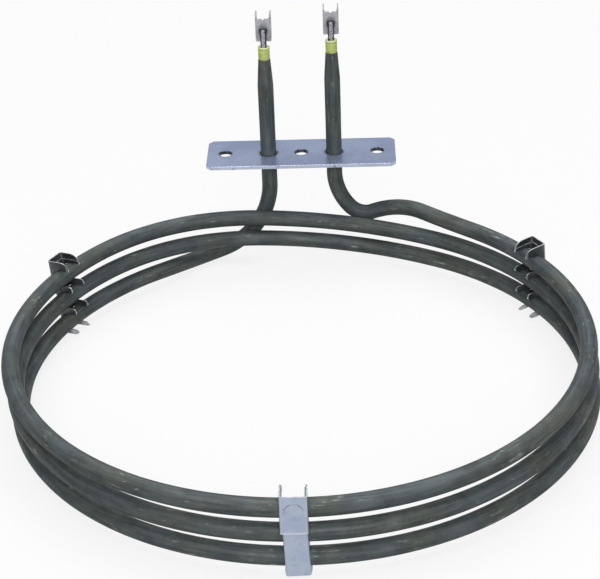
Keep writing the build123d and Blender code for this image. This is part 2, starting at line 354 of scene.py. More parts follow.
@dataclass(frozen=True)
class AnnealedSheath:
    """Dark oxide skin of the bent tube, scuffed lengthwise by handling."""

    name: str = "annealed_sheath"
    skin: Colour = Colour(81, 88, 91)
    olive_skin: Colour = Colour(84, 88, 83)
    deep_skin: Colour = Colour(47, 53, 57)
    scuff: Colour = Colour(168, 174, 174)
    tone: Noise = Noise(30.0, 2.0, band=(0.4, 0.62))
    cloud: Noise = Noise(150.0, 4.0, 0.6, (0.38, 0.66))
    streak: Noise = Noise((60.0, 900.0, 900.0), 4.0, 0.6)
    fleck: Noise = Noise((170.0, 760.0, 760.0), 3.0, 0.55, (0.58, 0.74))
    nick: Noise = Noise((190.0, 1000.0, 1000.0), 2.0, band=(0.7, 0.77))
    patch: Noise = Noise(60.0, 2.0, band=(0.5, 0.62))
    grain: Noise = Noise(2600.0, 2.0)
    fine_band: Pair = (0.34, 0.7)
    cloud_share: float = 0.4
    fine_share: float = 0.14
    rubbed_share: float = 0.62
    nick_share: float = 0.6
    grain_relief: float = 0.35
    streak_relief: float = 0.65
    nick_relief: float = 0.4
    relief_depth: float = 0.06 * MM
    metallic: float = 0.2
    specular: float = 0.1
    roughness: float = 0.55
    fine_polish: float = 0.08
    rubbed_polish: float = 0.12
    cloud_dullness: float = 0.08

    def build(self) -> bpy.types.Material:
        """Makes the material from the tube's own lengthwise coordinates.

        Returns:
            The material.
        """
        shader = Shader(self.name)
        place = shader.attribute(TUBE_ATTRIBUTE, "Vector")
        cloud = self.cloud.on(shader, place)
        streak = self.streak.on(shader, place)
        nick = self.nick.on(shader, place)
        fine = streak.band(*self.fine_band)
        rubbed = self.fleck.on(shader, place) * self.patch.on(shader, place)
        skin = shader.mix(self.skin.rgba, self.olive_skin.rgba, self.tone.on(shader, place))
        skin = shader.mix(skin, self.deep_skin.rgba, cloud * self.cloud_share)
        skin = shader.mix(skin, self.scuff.rgba, fine * self.fine_share)
        skin = shader.mix(skin, self.scuff.rgba, rubbed * self.rubbed_share)
        skin = shader.mix(skin, self.scuff.rgba, nick * self.nick_share)
        grain = self.grain.on(shader, place) * self.grain_relief
        relief = grain + streak * self.streak_relief - nick * self.nick_relief
        polish = fine * self.fine_polish + rubbed * self.rubbed_polish
        return shader.surface(
            Base_Color=skin,
            Metallic=self.metallic,
            Specular_IOR_Level=self.specular,
            Roughness=self.roughness - polish + cloud * self.cloud_dullness,
            Normal=shader.bump(relief, self.relief_depth),
        )


@dataclass(frozen=True)
class PlateSheet:
    """Zinc-blue rolled plate: faint grain, smudges, grime and painted shadow round every hole,
    painted shade on the hole walls.
    """

    name: str = "plate_sheet"
    face: Colour = Colour(193, 208, 242)
    cool_face: Colour = Colour(176, 190, 226)
    smudge: Colour = Colour(118, 124, 142)
    grime_and_shadow: Colour = Colour(46, 48, 54)
    edge: Colour = Colour(182, 186, 192)
    rust: Colour = Colour(104, 92, 84)
    tone: Noise = Noise(40.0, band=(0.38, 0.62))
    smear: Noise = Noise(90.0, 2.0, band=(0.48, 0.74))
    grain: Noise = Noise((40.0, 1500.0, 1500.0), 3.0, 0.6)
    scratch: Noise = Noise((700.0, 90.0, 400.0), 2.0, band=(0.68, 0.74))
    speck: Noise = Noise(2400.0, 2.0, band=(0.68, 0.76))
    broken: Noise = Noise(900.0, band=(0.3, 0.6))
    stain: Noise = Noise(260.0, band=(0.62, 0.7))
    leg_x: float = 13.6 * MM
    screw_x: float = 31.5 * MM
    leg_grime_and_shadow: Pair = (5.0 * MM, 3.6 * MM)
    screw_grime_and_shadow: Pair = (3.3 * MM, 2.75 * MM)
    smear_share: float = 0.34
    scratch_share: float = 0.2
    speck_share: float = 0.16
    edge_share: float = 0.6
    grime_and_shadow_share: float = 0.5
    broken_grime_and_shadow: float = 0.35
    hole_wall_painted_shade: float = 0.15
    rust_share: float = 0.7
    metallic: float = 0.8
    roughness: float = 0.24
    grain_dullness: float = 0.03
    smear_dullness: float = 0.14
    dirt_dullness: float = 0.2
    relief_depth: float = 0.004 * MM

    def ring(self, shader: Shader, place: Wire, x: float, reach: Pair) -> Wire:
        """Grime and painted shadow that thicken towards a hole.

        Args:
            shader: The material.
            place: The point folded onto positive X.
            x: The hole's distance from the middle.
            reach: Distances where the grime and shadow start and are full.

        Returns:
            The share of grime and painted shadow.
        """
        return 1 - shader.distance(place, (x, 0.0, 0.0)).band(reach[1], reach[0])

    def build(self) -> bpy.types.Material:
        """Makes the material; the mesh says which faces are cut edges.

        Returns:
            The material.
        """
        shader = Shader(self.name)
        place = shader.object_place()
        cut = shader.attribute(CUT_ATTRIBUTE, "Fac")
        level = shader.stretched(shader.folded(place), (1.0, 1.0, 0.0))
        grime_and_shadow = self.ring(shader, level, self.leg_x, self.leg_grime_and_shadow)
        for x in (0.0, self.screw_x):
            grime_and_shadow = grime_and_shadow + self.ring(shader, level, x, self.screw_grime_and_shadow)
        smear = self.smear.on(shader, place)
        grain = self.grain.on(shader, place)
        scratch = self.scratch.on(shader, place) * self.scratch_share
        speck = self.speck.on(shader, place) * self.speck_share
        stain = self.stain.on(shader, place) * cut * self.rust_share
        grime_and_shadow_strength = self.grime_and_shadow_share + self.broken.on(shader, place) * self.broken_grime_and_shadow
        face = shader.mix(self.face.rgba, self.cool_face.rgba, self.tone.on(shader, place))
        face = shader.mix(face, self.smudge.rgba, smear * self.smear_share)
        face = shader.mix(face, self.edge.rgba, scratch)
        face = shader.mix(face, self.smudge.rgba, speck)
        face = shader.mix(face, self.edge.rgba, cut * self.edge_share)
        # Grime and painted shadow round the holes, with painted shade on the hole walls near
        # them.
        face = shader.mix(face, self.grime_and_shadow.rgba, grime_and_shadow * (grime_and_shadow_strength + cut * self.hole_wall_painted_shade))
        face = shader.mix(face, self.rust.rgba, stain)
        dullness = grain * self.grain_dullness + smear * self.smear_dullness
        return shader.surface(
            Base_Color=face,
            Metallic=self.metallic,
            Roughness=self.roughness + dullness + grime_and_shadow * self.dirt_dullness,
            Normal=shader.bump(grain, self.relief_depth),
        )


@dataclass(frozen=True)
class ClipSheet:
    """Folded clip sheet: cross grain, smudges, worn folds, painted shade on its side walls,
    worn and painted-highlight feet, tips and tongues, and the ring of the spot weld with
    painted shade on its upper sides.
    """

    name: str
    face: Colour
    cool_face: Colour
    smudge: Colour
    roughness: float = 0.36
    # Share of painted shade on the side walls.
    painted_wall_shade: float = 0.0
    weld: bool = False
    metallic: float = 0.6
    tone: Noise = Noise(120.0, band=(0.38, 0.62))
    smear: Noise = Noise(330.0, 4.0, 0.6, (0.52, 0.72))
    grain: Noise = Noise((2600.0, 160.0, 160.0), 3.0, 0.6)
    scratch: Noise = Noise((150.0, 1500.0, 150.0), 2.0, band=(0.66, 0.73))
    broken: Noise = Noise(700.0, 2.0, band=(0.3, 0.6))
    smear_share: float = 0.4
    scratch_share: float = 0.28
    wall_place: Pair = (3.9 * MM, 5.0 * MM)
    fold_start: Pair = (3.6 * MM, 3.95 * MM)
    fold_end: Pair = (4.1 * MM, 4.7 * MM)
    foot_place: Pair = (6.45 * MM, 6.95 * MM)
    tip_place: Pair = (11.3 * MM, 12.3 * MM)
    tongue_place: Pair = (22.3 * MM, 22.9 * MM)
    tongue_start: Pair = (6.5 * MM, 8.5 * MM)
    fold_wear: float = 0.35
    foot_wear_and_glint: float = 0.7
    tip_glint: float = 0.6
    tongue_glint: float = 0.7
    wear_tone: float = 0.4
    weld_place: Triple = (0.0, 1.3 * MM, 0.0)
    weld_r: float = 3.1 * MM
    weld_line: float = 0.3 * MM
    painted_shade_upper: Pair = (1.8 * MM, 3.0 * MM)
    painted_shade_aside: Pair = (0.5 * MM, 1.5 * MM)
    weld_faint: float = 0.25
    weld_broken: float = 0.5
    weld_share: float = 0.8
    weld_groove: float = 2.0
    dimple_start: float = 0.55
    dimple_relief: float = 1.2
    dimple_dullness: float = 0.08
    grain_relief: float = 0.5
    dullness: float = 0.12
    relief_depth: float = 0.03 * MM

    def weld_print_and_shade(self, shader: Shader, place: Wire) -> Wire:
        """Broken dark line where the electrode pressed, with painted shade making it plainest
        at its upper sides.

        Args:
            shader: The material.
            place: Unrolled place on the sheet.

        Returns:
            The line's share.
        """
        away = shader.distance(place, self.weld_place)
        inner = away.band(self.weld_r - self.weld_line, self.weld_r)
        outer = away.band(self.weld_r, self.weld_r + self.weld_line)
        upper = shader.axis(place, "Y").band(*self.painted_shade_upper)
        aside = shader.axis(shader.folded(place), "X").band(*self.painted_shade_aside)
        # Painted shade: the line is darkest at its upper sides, where the pressed recess is
        # shaded from above.
        painted_shade_weight = upper * aside * (1 - self.weld_faint) + self.weld_faint
        whole = self.broken.on(shader, place) * self.weld_broken + (1 - self.weld_broken)
        return inner * (1 - outer) * painted_shade_weight * whole

    def wear_and_glint(self, shader: Shader, place: Wire, tone: Wire, wall: Wire) -> Wire:
        """Bare metal along folds; worn metal with painted highlights on feet, finger tips and
        tongues.

        Args:
            shader: The material.
            place: Unrolled place on the sheet.
            tone: The patchiness of the bare and highlighted metal.
            wall: The share of the side walls.

        Returns:
            The share of bare metal and painted highlight.
        """
        across = shader.axis(shader.folded(place), "X")
        depth = 0 - shader.axis(place, "Y")
        fold = across.band(*self.fold_start) * (1 - across.band(*self.fold_end))
        tongue = depth.band(*self.tongue_place) * across.band(*self.tongue_start)
        tip = across.band(*self.tip_place)
        foot = depth.band(*self.foot_place) * (1 - wall) if self.weld else tip
        # Folds are bare metal; feet, finger tips and tongues are both worn and painted with
        # highlights.
        worn = fold * self.fold_wear + foot * self.foot_wear_and_glint
        worn = worn + tip * self.tip_glint + tongue * self.tongue_glint
        return worn * (tone * self.wear_tone + (1 - self.wear_tone))

    def build(self) -> bpy.types.Material:
        """Makes the material from the sheet's unrolled coordinates.

        Returns:
            The material.
        """
        shader = Shader(self.name)
        place = shader.attribute(SHEET_ATTRIBUTE, "Vector")
        tone = self.tone.on(shader, place)
        smear = self.smear.on(shader, place)
        grain = self.grain.on(shader, place)
        wall = shader.axis(shader.folded(place), "X").band(*self.wall_place)
        scratch = self.scratch.on(shader, place) * self.scratch_share
        face = shader.mix(self.face.rgba, self.cool_face.rgba, tone)
        face = shader.mix(face, self.smudge.rgba, smear * self.smear_share)
        face = shader.mix(face, CUT_COLOUR.rgba, scratch)
        # Painted shade: the side walls are darkened towards the wall colour.
        face = shader.mix(face, PAINTED_WALL_SHADE_COLOUR.rgba, wall * self.painted_wall_shade)
        # Bare metal on folds; feet, finger tips and tongues get both wear and painted
        # highlight.
        face = shader.mix(face, CUT_COLOUR.rgba, self.wear_and_glint(shader, place, tone, wall))
        relief = grain * self.grain_relief
        rough = self.roughness + grain * self.dullness + smear * self.dullness
        if self.weld:
            ring = self.weld_print_and_shade(shader, place)
            away = shader.distance(place, self.weld_place)
            dimple = 1 - away.band(self.weld_r * self.dimple_start, self.weld_r)
            # The weld print, with painted shade on its upper sides.
            face = shader.mix(face, WELD_PRINT_AND_SHADE_COLOUR.rgba, ring * self.weld_share)
            relief = relief - ring * self.weld_groove + dimple * self.dimple_relief
            rough = rough + dimple * self.dimple_dullness
        return shader.surface(
            Base_Color=face,
            Metallic=self.metallic,
            Roughness=rough,
            Normal=shader.bump(relief, self.relief_depth),
        )


@dataclass(frozen=True)
class CutSteel:
    """Bright sheared edge of sheet metal with short nicks."""

    name: str = "cut_steel"
    face: Colour = Colour(206, 210, 214)
    nick: Colour = Colour(140, 144, 148)
    shear: Noise = Noise(1900.0, 3.0, 0.6)
    worn: Noise = Noise(420.0, 2.0, band=(0.42, 0.66))
    worn_share: float = 0.6
    metallic: float = 0.7
    roughness: float = 0.3
    shear_dullness: float = 0.2
    relief_depth: float = 0.02 * MM

    def build(self) -> bpy.types.Material:
        """Makes the sheared edge.

        Returns:
            The material.
        """
        shader = Shader(self.name)
        place = shader.object_place()
        shear = self.shear.on(shader, place)
        worn = self.worn.on(shader, place) * self.worn_share
        return shader.surface(
            Base_Color=shader.mix(self.face.rgba, self.nick.rgba, worn),
            Metallic=self.metallic,
            Roughness=self.roughness + shear * self.shear_dullness,
            Normal=shader.bump(shear, self.relief_depth),
        )


@dataclass(frozen=True)
class TabSheet:
    """Tin-grey terminal sheet, stained darker near the weld."""

    name: str = "tab_sheet"
    face: Colour = Colour(192, 192, 196)
    cool_face: Colour = Colour(168, 170, 176)
    stain: Colour = Colour(84, 84, 90)
    tone: Noise = Noise(260.0, band=(0.36, 0.64))
    blot: Noise = Noise(800.0, 4.0, 0.65, (0.54, 0.7))
    grain: Noise = Noise((2400.0, 200.0, 200.0), 3.0, 0.6)
    heat_place: Triple = (0.0, 1.6 * MM, 0.0)
    heat_stretch: Triple = (1.0, 0.6, 0.0)
    heat_reach: Pair = (1.9 * MM, 3.6 * MM)
    blot_share: float = 0.4
    heat_share: float = 0.22
    heat_blot: float = 0.5
    metallic: float = 0.65
    roughness: float = 0.32
    grain_dullness: float = 0.15
    blot_dullness: float = 0.1
    relief_depth: float = 0.03 * MM

    def build(self) -> bpy.types.Material:
        """Makes the material from the sheet's unrolled coordinates.

        Returns:
            The material.
        """
        shader = Shader(self.name)
        place = shader.attribute(SHEET_ATTRIBUTE, "Vector")
        blot = self.blot.on(shader, place)
        grain = self.grain.on(shader, place)
        low = shader.distance(shader.stretched(place, self.heat_stretch), self.heat_place)
        heat = (1 - low.band(*self.heat_reach)) * (self.heat_share + blot * self.heat_blot)
        face = shader.mix(self.face.rgba, self.cool_face.rgba, self.tone.on(shader, place))
        face = shader.mix(face, self.stain.rgba, blot * self.blot_share)
        face = shader.mix(face, self.stain.rgba, heat)
        dullness = grain * self.grain_dullness + blot * self.blot_dullness
        return shader.surface(
            Base_Color=face,
            Metallic=self.metallic,
            Roughness=self.roughness + dullness,
            Normal=shader.bump(grain + blot, self.relief_depth),
        )


@dataclass(frozen=True)
class PinSteel:
    """Polished pin: light front and back, painted shade on its flanks and a darker end."""

    name: str = "pin_steel"
    # Light front and back; the dark colour is painted shade on the flanks and also darkens the
    # end.
    light: Colour = Colour(180, 178, 192)
    dark: Colour = Colour(30, 29, 32)
    ragged: Noise = Noise(1500.0, 3.0, 0.6)
    ragged_band: Pair = (0.46, 0.68)
    leg_x: float = 13.6 * MM
    flank: Pair = (0.5 * MM, 0.95 * MM)
    ragged_painted_shade: float = 0.75
    painted_shade_band: Pair = (0.1, 1.0)
    dark_band: Pair = (0.05, 0.75)
    dark_share: float = 0.92
    metallic: float = 0.75
    roughness: float = 0.26
    ragged_dullness: float = 0.2
    relief_depth: float = 0.03 * MM

    def build(self) -> bpy.types.Material:
        """Makes the material; both legs share it by mirrored place.

        Returns:
            The material.
        """
        shader = Shader(self.name)
        place = shader.object_place()
        level = shader.stretched(shader.folded(place), (1.0, 0.0, 0.0))
        # Painted shade on the flanks, the dark edges of a shiny round pin; the crown mark
        # darkens the head's rim and dish.
        flank = shader.distance(level, (self.leg_x, 0.0, 0.0)).band(*self.flank)
        ragged = self.ragged.on(shader, place)
        painted_flank_shade = flank + ragged.band(*self.ragged_band) * self.ragged_painted_shade
        crown = shader.attribute(CROWN_ATTRIBUTE, "Fac")
        dark = (painted_flank_shade.band(*self.painted_shade_band) + crown).band(*self.dark_band)
        return shader.surface(
            Base_Color=shader.mix(self.light.rgba, self.dark.rgba, dark * self.dark_share),
            Metallic=self.metallic,
            Roughness=self.roughness + ragged * self.ragged_dullness,
            Normal=shader.bump(ragged, self.relief_depth),
        )


@dataclass(frozen=True)
class BeadGlaze:
    """Yellow-green cast bead of the end seal, paler at its rim."""

    name: str = "bead_glaze"
    body: Colour = Colour(208, 222, 128)
    shade: Colour = Colour(186, 204, 108)
    pale: Colour = Colour(230, 234, 196)
    mottle: Noise = Noise(620.0, band=(0.35, 0.65))
    dust: Noise = Noise(2400.0, 3.0, 0.6, (0.55, 0.7))
    mottle_share: float = 0.8
    dust_share: float = 0.35
    rim_share: float = 0.6
    roughness: float = 0.42
    mottle_dullness: float = 0.15
    relief_depth: float = 0.04 * MM

    def build(self) -> bpy.types.Material:
        """Makes the mottled, slightly waxy bead.

        Returns:
            The material.
        """
        shader = Shader(self.name)
        place = shader.object_place()
        mottle = self.mottle.on(shader, place)
        dust = self.dust.on(shader, place)
        pale = shader.attribute(CROWN_ATTRIBUTE, "Fac") * self.rim_share
        body = shader.mix(self.body.rgba, self.shade.rgba, mottle * self.mottle_share)
        body = shader.mix(body, self.pale.rgba, dust * self.dust_share + pale)
        return shader.surface(
            Base_Color=body,
            Roughness=self.roughness + mottle * self.mottle_dullness,
            Normal=shader.bump(dust + mottle, self.relief_depth),
        )


@dataclass(frozen=True)
class PackedPowder:
    """Pressed white insulation inside the legs."""

    name: str = "packed_powder"
    body: Colour = Colour(226, 222, 212)
    shade: Colour = Colour(196, 190, 178)
    clump: Noise = Noise(900.0, 4.0, 0.65, (0.35, 0.7))
    grit: Noise = Noise(5200.0, 2.0)
    roughness: float = 0.85
    clump_dullness: float = 0.1
    relief_depth: float = 0.05 * MM

    def build(self) -> bpy.types.Material:
        """Makes the chalky, grainy fill.

        Returns:
            The material.
        """
        shader = Shader(self.name)
        place = shader.object_place()
        clump = self.clump.on(shader, place)
        return shader.surface(
            Base_Color=shader.mix(self.body.rgba, self.shade.rgba, clump),
            Roughness=self.roughness + clump * self.clump_dullness,
            Normal=shader.bump(self.grit.on(shader, place) + clump, self.relief_depth),
        )


# The front clips' sheet, with painted shade on its side walls.
BRIGHT_CLIP = {
    "face": Colour(178, 190, 208),
    "cool_face": Colour(168, 180, 205),
    "smudge": Colour(142, 152, 166),
    "painted_wall_shade": 0.75,
}
# Painted shade: the same clip sheet painted darker for the rear clips, whose inner faces are
# seen turned away from the light.
PAINTED_SHADE_CLIP = {
    "face": Colour(88, 92, 94),
    "cool_face": Colour(62, 66, 68),
    "smudge": Colour(34, 37, 38),
    "roughness": 0.34,
}


class Finish(Enum):
    """The finishes by use."""

    SHEATH = AnnealedSheath()
    PLATE = PlateSheet()
    FRONT_COMB = ClipSheet("front_comb_sheet", **BRIGHT_CLIP)
    FRONT_CAP = ClipSheet("front_cap_sheet", weld=True, **BRIGHT_CLIP)
    # The rear clips' finishes carry painted shade.
    SHADED_REAR_COMB = ClipSheet("rear_comb_painted_shade", **PAINTED_SHADE_CLIP)
    SHADED_REAR_CAP = ClipSheet("rear_cap_painted_shade", weld=True, **PAINTED_SHADE_CLIP)
    CUT = CutSteel()
    TERMINAL = TabSheet()
    PIN = PinSteel()
    BEAD = BeadGlaze()
    POWDER = PackedPowder()


class FinishShop:
    """Builds each finish once and hands it out."""

    def __init__(self) -> None:
        """Starts with nothing made."""
        self.made: dict[Finish, bpy.types.Material] = {}

    def get(self, finish: Finish) -> bpy.types.Material:
        """The finish's material.

        Args:
            finish: Which one.

        Returns:
            The material, made on first use.
        """
        if finish not in self.made:
            self.made[finish] = finish.value.build()
        return self.made[finish]


# ----------------------------------------------------------------- tube route


@dataclass(frozen=True)
class Arc:
    """A circular arc of the centre line, or a straight run where turn is zero."""

    start: Vector
    heading: Vector
    length: float
    turn: float
    inward: Vector

    @staticmethod
    def straight(start: Vector, end: Vector) -> "Arc":
        """Straight run from start to end."""
        run = end - start
        return Arc(start, run.normalized(), run.length, 0.0, Vector())

    @staticmethod
    def tangent(start: Vector, heading: Vector, end: Vector) -> "Arc":
        """Arc that leaves start along heading and passes on to end.

        Args:
            start: First point.
            heading: Unit direction at the start.
            end: Last point.

        Returns:
            The arc, which may turn by more than half a circle.
        """
        chord = end - start
        along = chord.dot(heading)
        across = chord - heading * along
        inward = across.normalized()
        half = math.atan2(across.length, along)
        radius = chord.length / (2 * math.sin(half))
        return Arc(start, heading, 2 * half * radius, 2 * half, inward)

    def at(self, distance: float) -> tuple[Vector, Vector]:
        """Point and direction at a distance from the start.

        Args:
            distance: Length along the arc.

        Returns:
            The point and the unit direction there.
        """
        if self.turn == 0:
            return self.start + self.heading * distance, self.heading
        radius = self.length / self.turn
        angle = distance / radius
        point = self.start + self.heading * radius * math.sin(angle)
        point += self.inward * radius * (1 - math.cos(angle))
        return point, self.heading * math.cos(angle) + self.inward * math.sin(angle)

    def end(self) -> tuple[Vector, Vector]:
        """Last point and direction."""
        return self.at(self.length)


@dataclass(frozen=True)
class TubeRoute:
    """Centre line of the sheath from the right leg's tip to the left leg's, in metres."""

    ring_r: float = 105.3 * MM
    turns: int = 3
    pitch: float = 9.54 * MM
    drift: float = 0.98 * MM
    setback: float = 111.7 * MM
    ring_drop: float = 21.6 * MM
    joggle_start: float = 139.7
    joggle_end: float = 59.7
    leg_x: float = 13.6 * MM
    left_tip: float = 41.8 * MM
    right_tip: float = 44.1 * MM
    left_bend: tuple[float, float, float, float] = (30.0 * MM, 73.0, 190.0, 26.85 * MM)
    left_join: float = 126.4
    right_bend: tuple[float, float, float, float] = (21.8 * MM, 44.7, -13.4, 12.2 * MM)
    right_tight: Pair = (8.5 * MM, 70.0)
    right_join: float = 49.5

    def turn_point(self, turn: int, azimuth: float) -> Vector:
        """Centre-line point of a turn.

        Args:
            turn: 0 for the top turn.
            azimuth: Degrees from +X.

        Returns:
            The point.
        """
        angle = math.radians(azimuth)
        x = turn * self.drift + self.ring_r * math.cos(angle)
        y = self.ring_r * math.sin(angle) - self.setback
        return Vector((x, y, -self.ring_drop - turn * self.pitch))

    @staticmethod
    def turn_heading(azimuth: float) -> Vector:
        """Direction of travel, clockwise seen from above."""
        angle = math.radians(azimuth)
        return Vector((math.sin(angle), -math.cos(angle), 0.0))

    @staticmethod
    def biarc(start: Vector, start_dir: Vector, end: Vector, end_dir: Vector) -> list[Arc]:
        """Two tangent arcs between two places with given directions.

        Args:
            start: First point.
            start_dir: Direction there.
            end: Last point.
            end_dir: Direction there.

        Returns:
            The two arcs.
        """
        chord = end - start
        along = chord.dot(start_dir + end_dir)
        straightness = 2 * (1 - start_dir.dot(end_dir))
        root = math.sqrt(along**2 + straightness * chord.dot(chord))
        reach = (root - along) / straightness
        middle = (start + end + (start_dir - end_dir) * reach) * 0.5
        first = Arc.tangent(start, start_dir, middle)
        return [first, Arc.tangent(middle, first.end()[1], end)]

    @staticmethod
    def bend(start: Vector, heading: float, radius: float, angles: Pair) -> Arc:
        """Arc in the upright plane of a heading, its angles counted from straight down.

        Args:
            start: First point.
            heading: Azimuth of the plane in degrees.
            radius: Bend radius.
            angles: Direction at the start and at the end, in degrees.

        Returns:
            The arc.
        """
        azimuth = math.radians(heading)
        level = Vector((math.cos(azimuth), math.sin(azimuth), 0.0))
        first, last = (math.radians(angle) for angle in angles)
        direction = level * math.sin(first) - Vector((0, 0, math.cos(first)))
        across = level * (radius * (math.cos(first) - math.cos(last)))
        down = Vector((0, 0, radius * (math.sin(last) - math.sin(first))))
        return Arc.tangent(start, direction, start + across - down)

    def right_foot(self) -> list[Arc]:
        """Right leg from its tip down and round into the top turn.

        Returns:
            Its arcs in order.
        """
        radius, angle, heading, rise = self.right_bend
        tight_radius, tight_angle = self.right_tight
        bottom = Vector((self.leg_x, 0, rise - self.ring_drop))
        leg = Arc.straight(Vector((self.leg_x, 0, self.right_tip)), bottom)
        easy = self.bend(bottom, heading, radius, (0.0, angle))
        tight = self.bend(easy.end()[0], heading, tight_radius, (angle, angle + tight_angle))
        target = self.turn_point(0, self.right_join)
        rising = self.biarc(*tight.end(), target, self.turn_heading(self.right_join))
        return [leg, easy, tight, *rising]

    def left_foot(self) -> list[Arc]:
        """Left leg from the lowest turn up to its tip.

        Returns:
            Its arcs in order.
        """
        radius, angle, heading, rise = self.left_bend
        last = self.turns - 1
        bend_top = Vector((-self.leg_x, 0, rise - self.ring_drop - last * self.pitch))
        low, falling = self.bend(bend_top, heading, radius, (0.0, angle)).end()
        start = self.turn_point(last, self.left_join)
        rising = self.biarc(start, self.turn_heading(self.left_join), low, -falling)
        upward = Arc.tangent(low, -falling, bend_top)
        leg = Arc.straight(bend_top, Vector((-self.leg_x, 0, self.left_tip)))
        return [*rising, upward, leg]

    def ring(self) -> list[Arc]:
        """The flat turns and the joggles between them.

        Returns:
            Their arcs in order.
        """
        arcs: list[Arc] = []
        enter = self.right_join
        for turn in range(self.turns):
            leave = self.left_join if turn == self.turns - 1 else self.joggle_start
            start = self.turn_point(turn, enter)
            end = self.turn_point(turn, leave)
            arcs.append(Arc.tangent(start, self.turn_heading(enter), end))
            if turn < self.turns - 1:
                landing = self.turn_point(turn + 1, self.joggle_end)
                heading = self.turn_heading(self.joggle_end)
                arcs += self.biarc(end, self.turn_heading(leave), landing, heading)
            enter = self.joggle_end
        return arcs

    def arcs(self) -> list[Arc]:
        """The whole centre line."""
        return [*self.right_foot(), *self.ring(), *self.left_foot()]


# ---------------------------------------------------------------- mesh helpers


def new_object(
    name: str, mesh: bpy.types.Mesh, *materials: bpy.types.Material
) -> bpy.types.Object:
    """Links a mesh into the scene as an object.

    Args:
        name: The object's name.
        mesh: Its mesh.
        materials: What the mesh gets in its slots, in order.

    Returns:
        The object.
    """
    for material in materials:
        mesh.materials.append(material)
    made = bpy.data.objects.new(name, mesh)
    bpy.context.scene.collection.objects.link(made)
    return made


def settle(piece: bpy.types.Object, slot: str, *nodes: str) -> None:
    """Puts a piece on the part's one body and hides the CAD nodes that it replaces.

    Args:
        piece: The finished piece.
        slot: The record's material slot; not used.
        nodes: CAD nodes that it replaces.
    """
    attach(piece, BODY)
    if nodes:
        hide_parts(*nodes)


def soften_edges(piece: bpy.types.Object, width: float, segments: int, angle: float) -> None:
    """Rounds a piece's sharp edges.

    Args:
        piece: The piece.
        width: Width of the rounding in metres.
        segments: Facets across it.
        angle: Degrees from which an edge counts as sharp.
    """
    bevel = piece.modifiers.new("soft_edges", "BEVEL")
    bevel.width = width
    bevel.segments = segments
    bevel.limit_method = "ANGLE"
    bevel.angle_limit = math.radians(angle)
    bevel.harden_normals = True


def face_outward(mesh: bpy.types.Mesh) -> None:
    """Turns a mesh's faces the same way.

    Args:
        mesh: The mesh.
    """
    work = bmesh.new()
    work.from_mesh(mesh)
    bmesh.ops.recalc_face_normals(work, faces=work.faces)
    work.to_mesh(mesh)
    work.free()


def tube_faces(rings: int, sides: int) -> list[tuple[int, ...]]:
    """Faces of a capped tube whose points come ring by ring.

    Args:
        rings: Number of rings.
        sides: Points in each.

    Returns:
        The skin from the first ring on, then the first cap and the last one.
    """
    faces: list[tuple[int, ...]] = []
    for row in range(rings - 1):
        low = row * sides
        high = low + sides
        for side in range(sides):
            onward = (side + 1) % sides
            faces.append((low + side, low + onward, high + onward, high + side))
    last = (rings - 1) * sides
    faces.append(tuple(reversed(range(sides))))
    faces.append(tuple(range(last, last + sides)))
    return faces


def mark_places(mesh: bpy.types.Mesh, name: str, places: list[float]) -> None:
    """Stores the place at which the finish looks each point up.

    Args:
        mesh: The mesh.
        name: The attribute's name.
        places: Three numbers for each point, in a row.
    """
    marks = mesh.attributes.new(name, "FLOAT_VECTOR", "POINT")
    marks.data.foreach_set("vector", places)


def mark_crown(mesh: bpy.types.Mesh, crowns: list[float]) -> None:
    """Gives a turned mesh its crown marks and its smooth, edge-aware shading.

    Args:
        mesh: The mesh.
        crowns: Mark of each point, from 0 to 1.
    """
    marks = mesh.attributes.new(CROWN_ATTRIBUTE, "FLOAT", "POINT")
    marks.data.foreach_set("value", crowns)
    mesh.shade_smooth()
    mesh.set_sharp_from_angle(angle=math.radians(SHARP_ANGLE))


@dataclass(frozen=True)
class Band:
    """A strip across a folded sheet, up to the next boundary, with its side walls."""

    rows: int
    reach: float | None = None
    rounding: float = 0.0
    flare: float = 0.0
    curl: float = 0.0


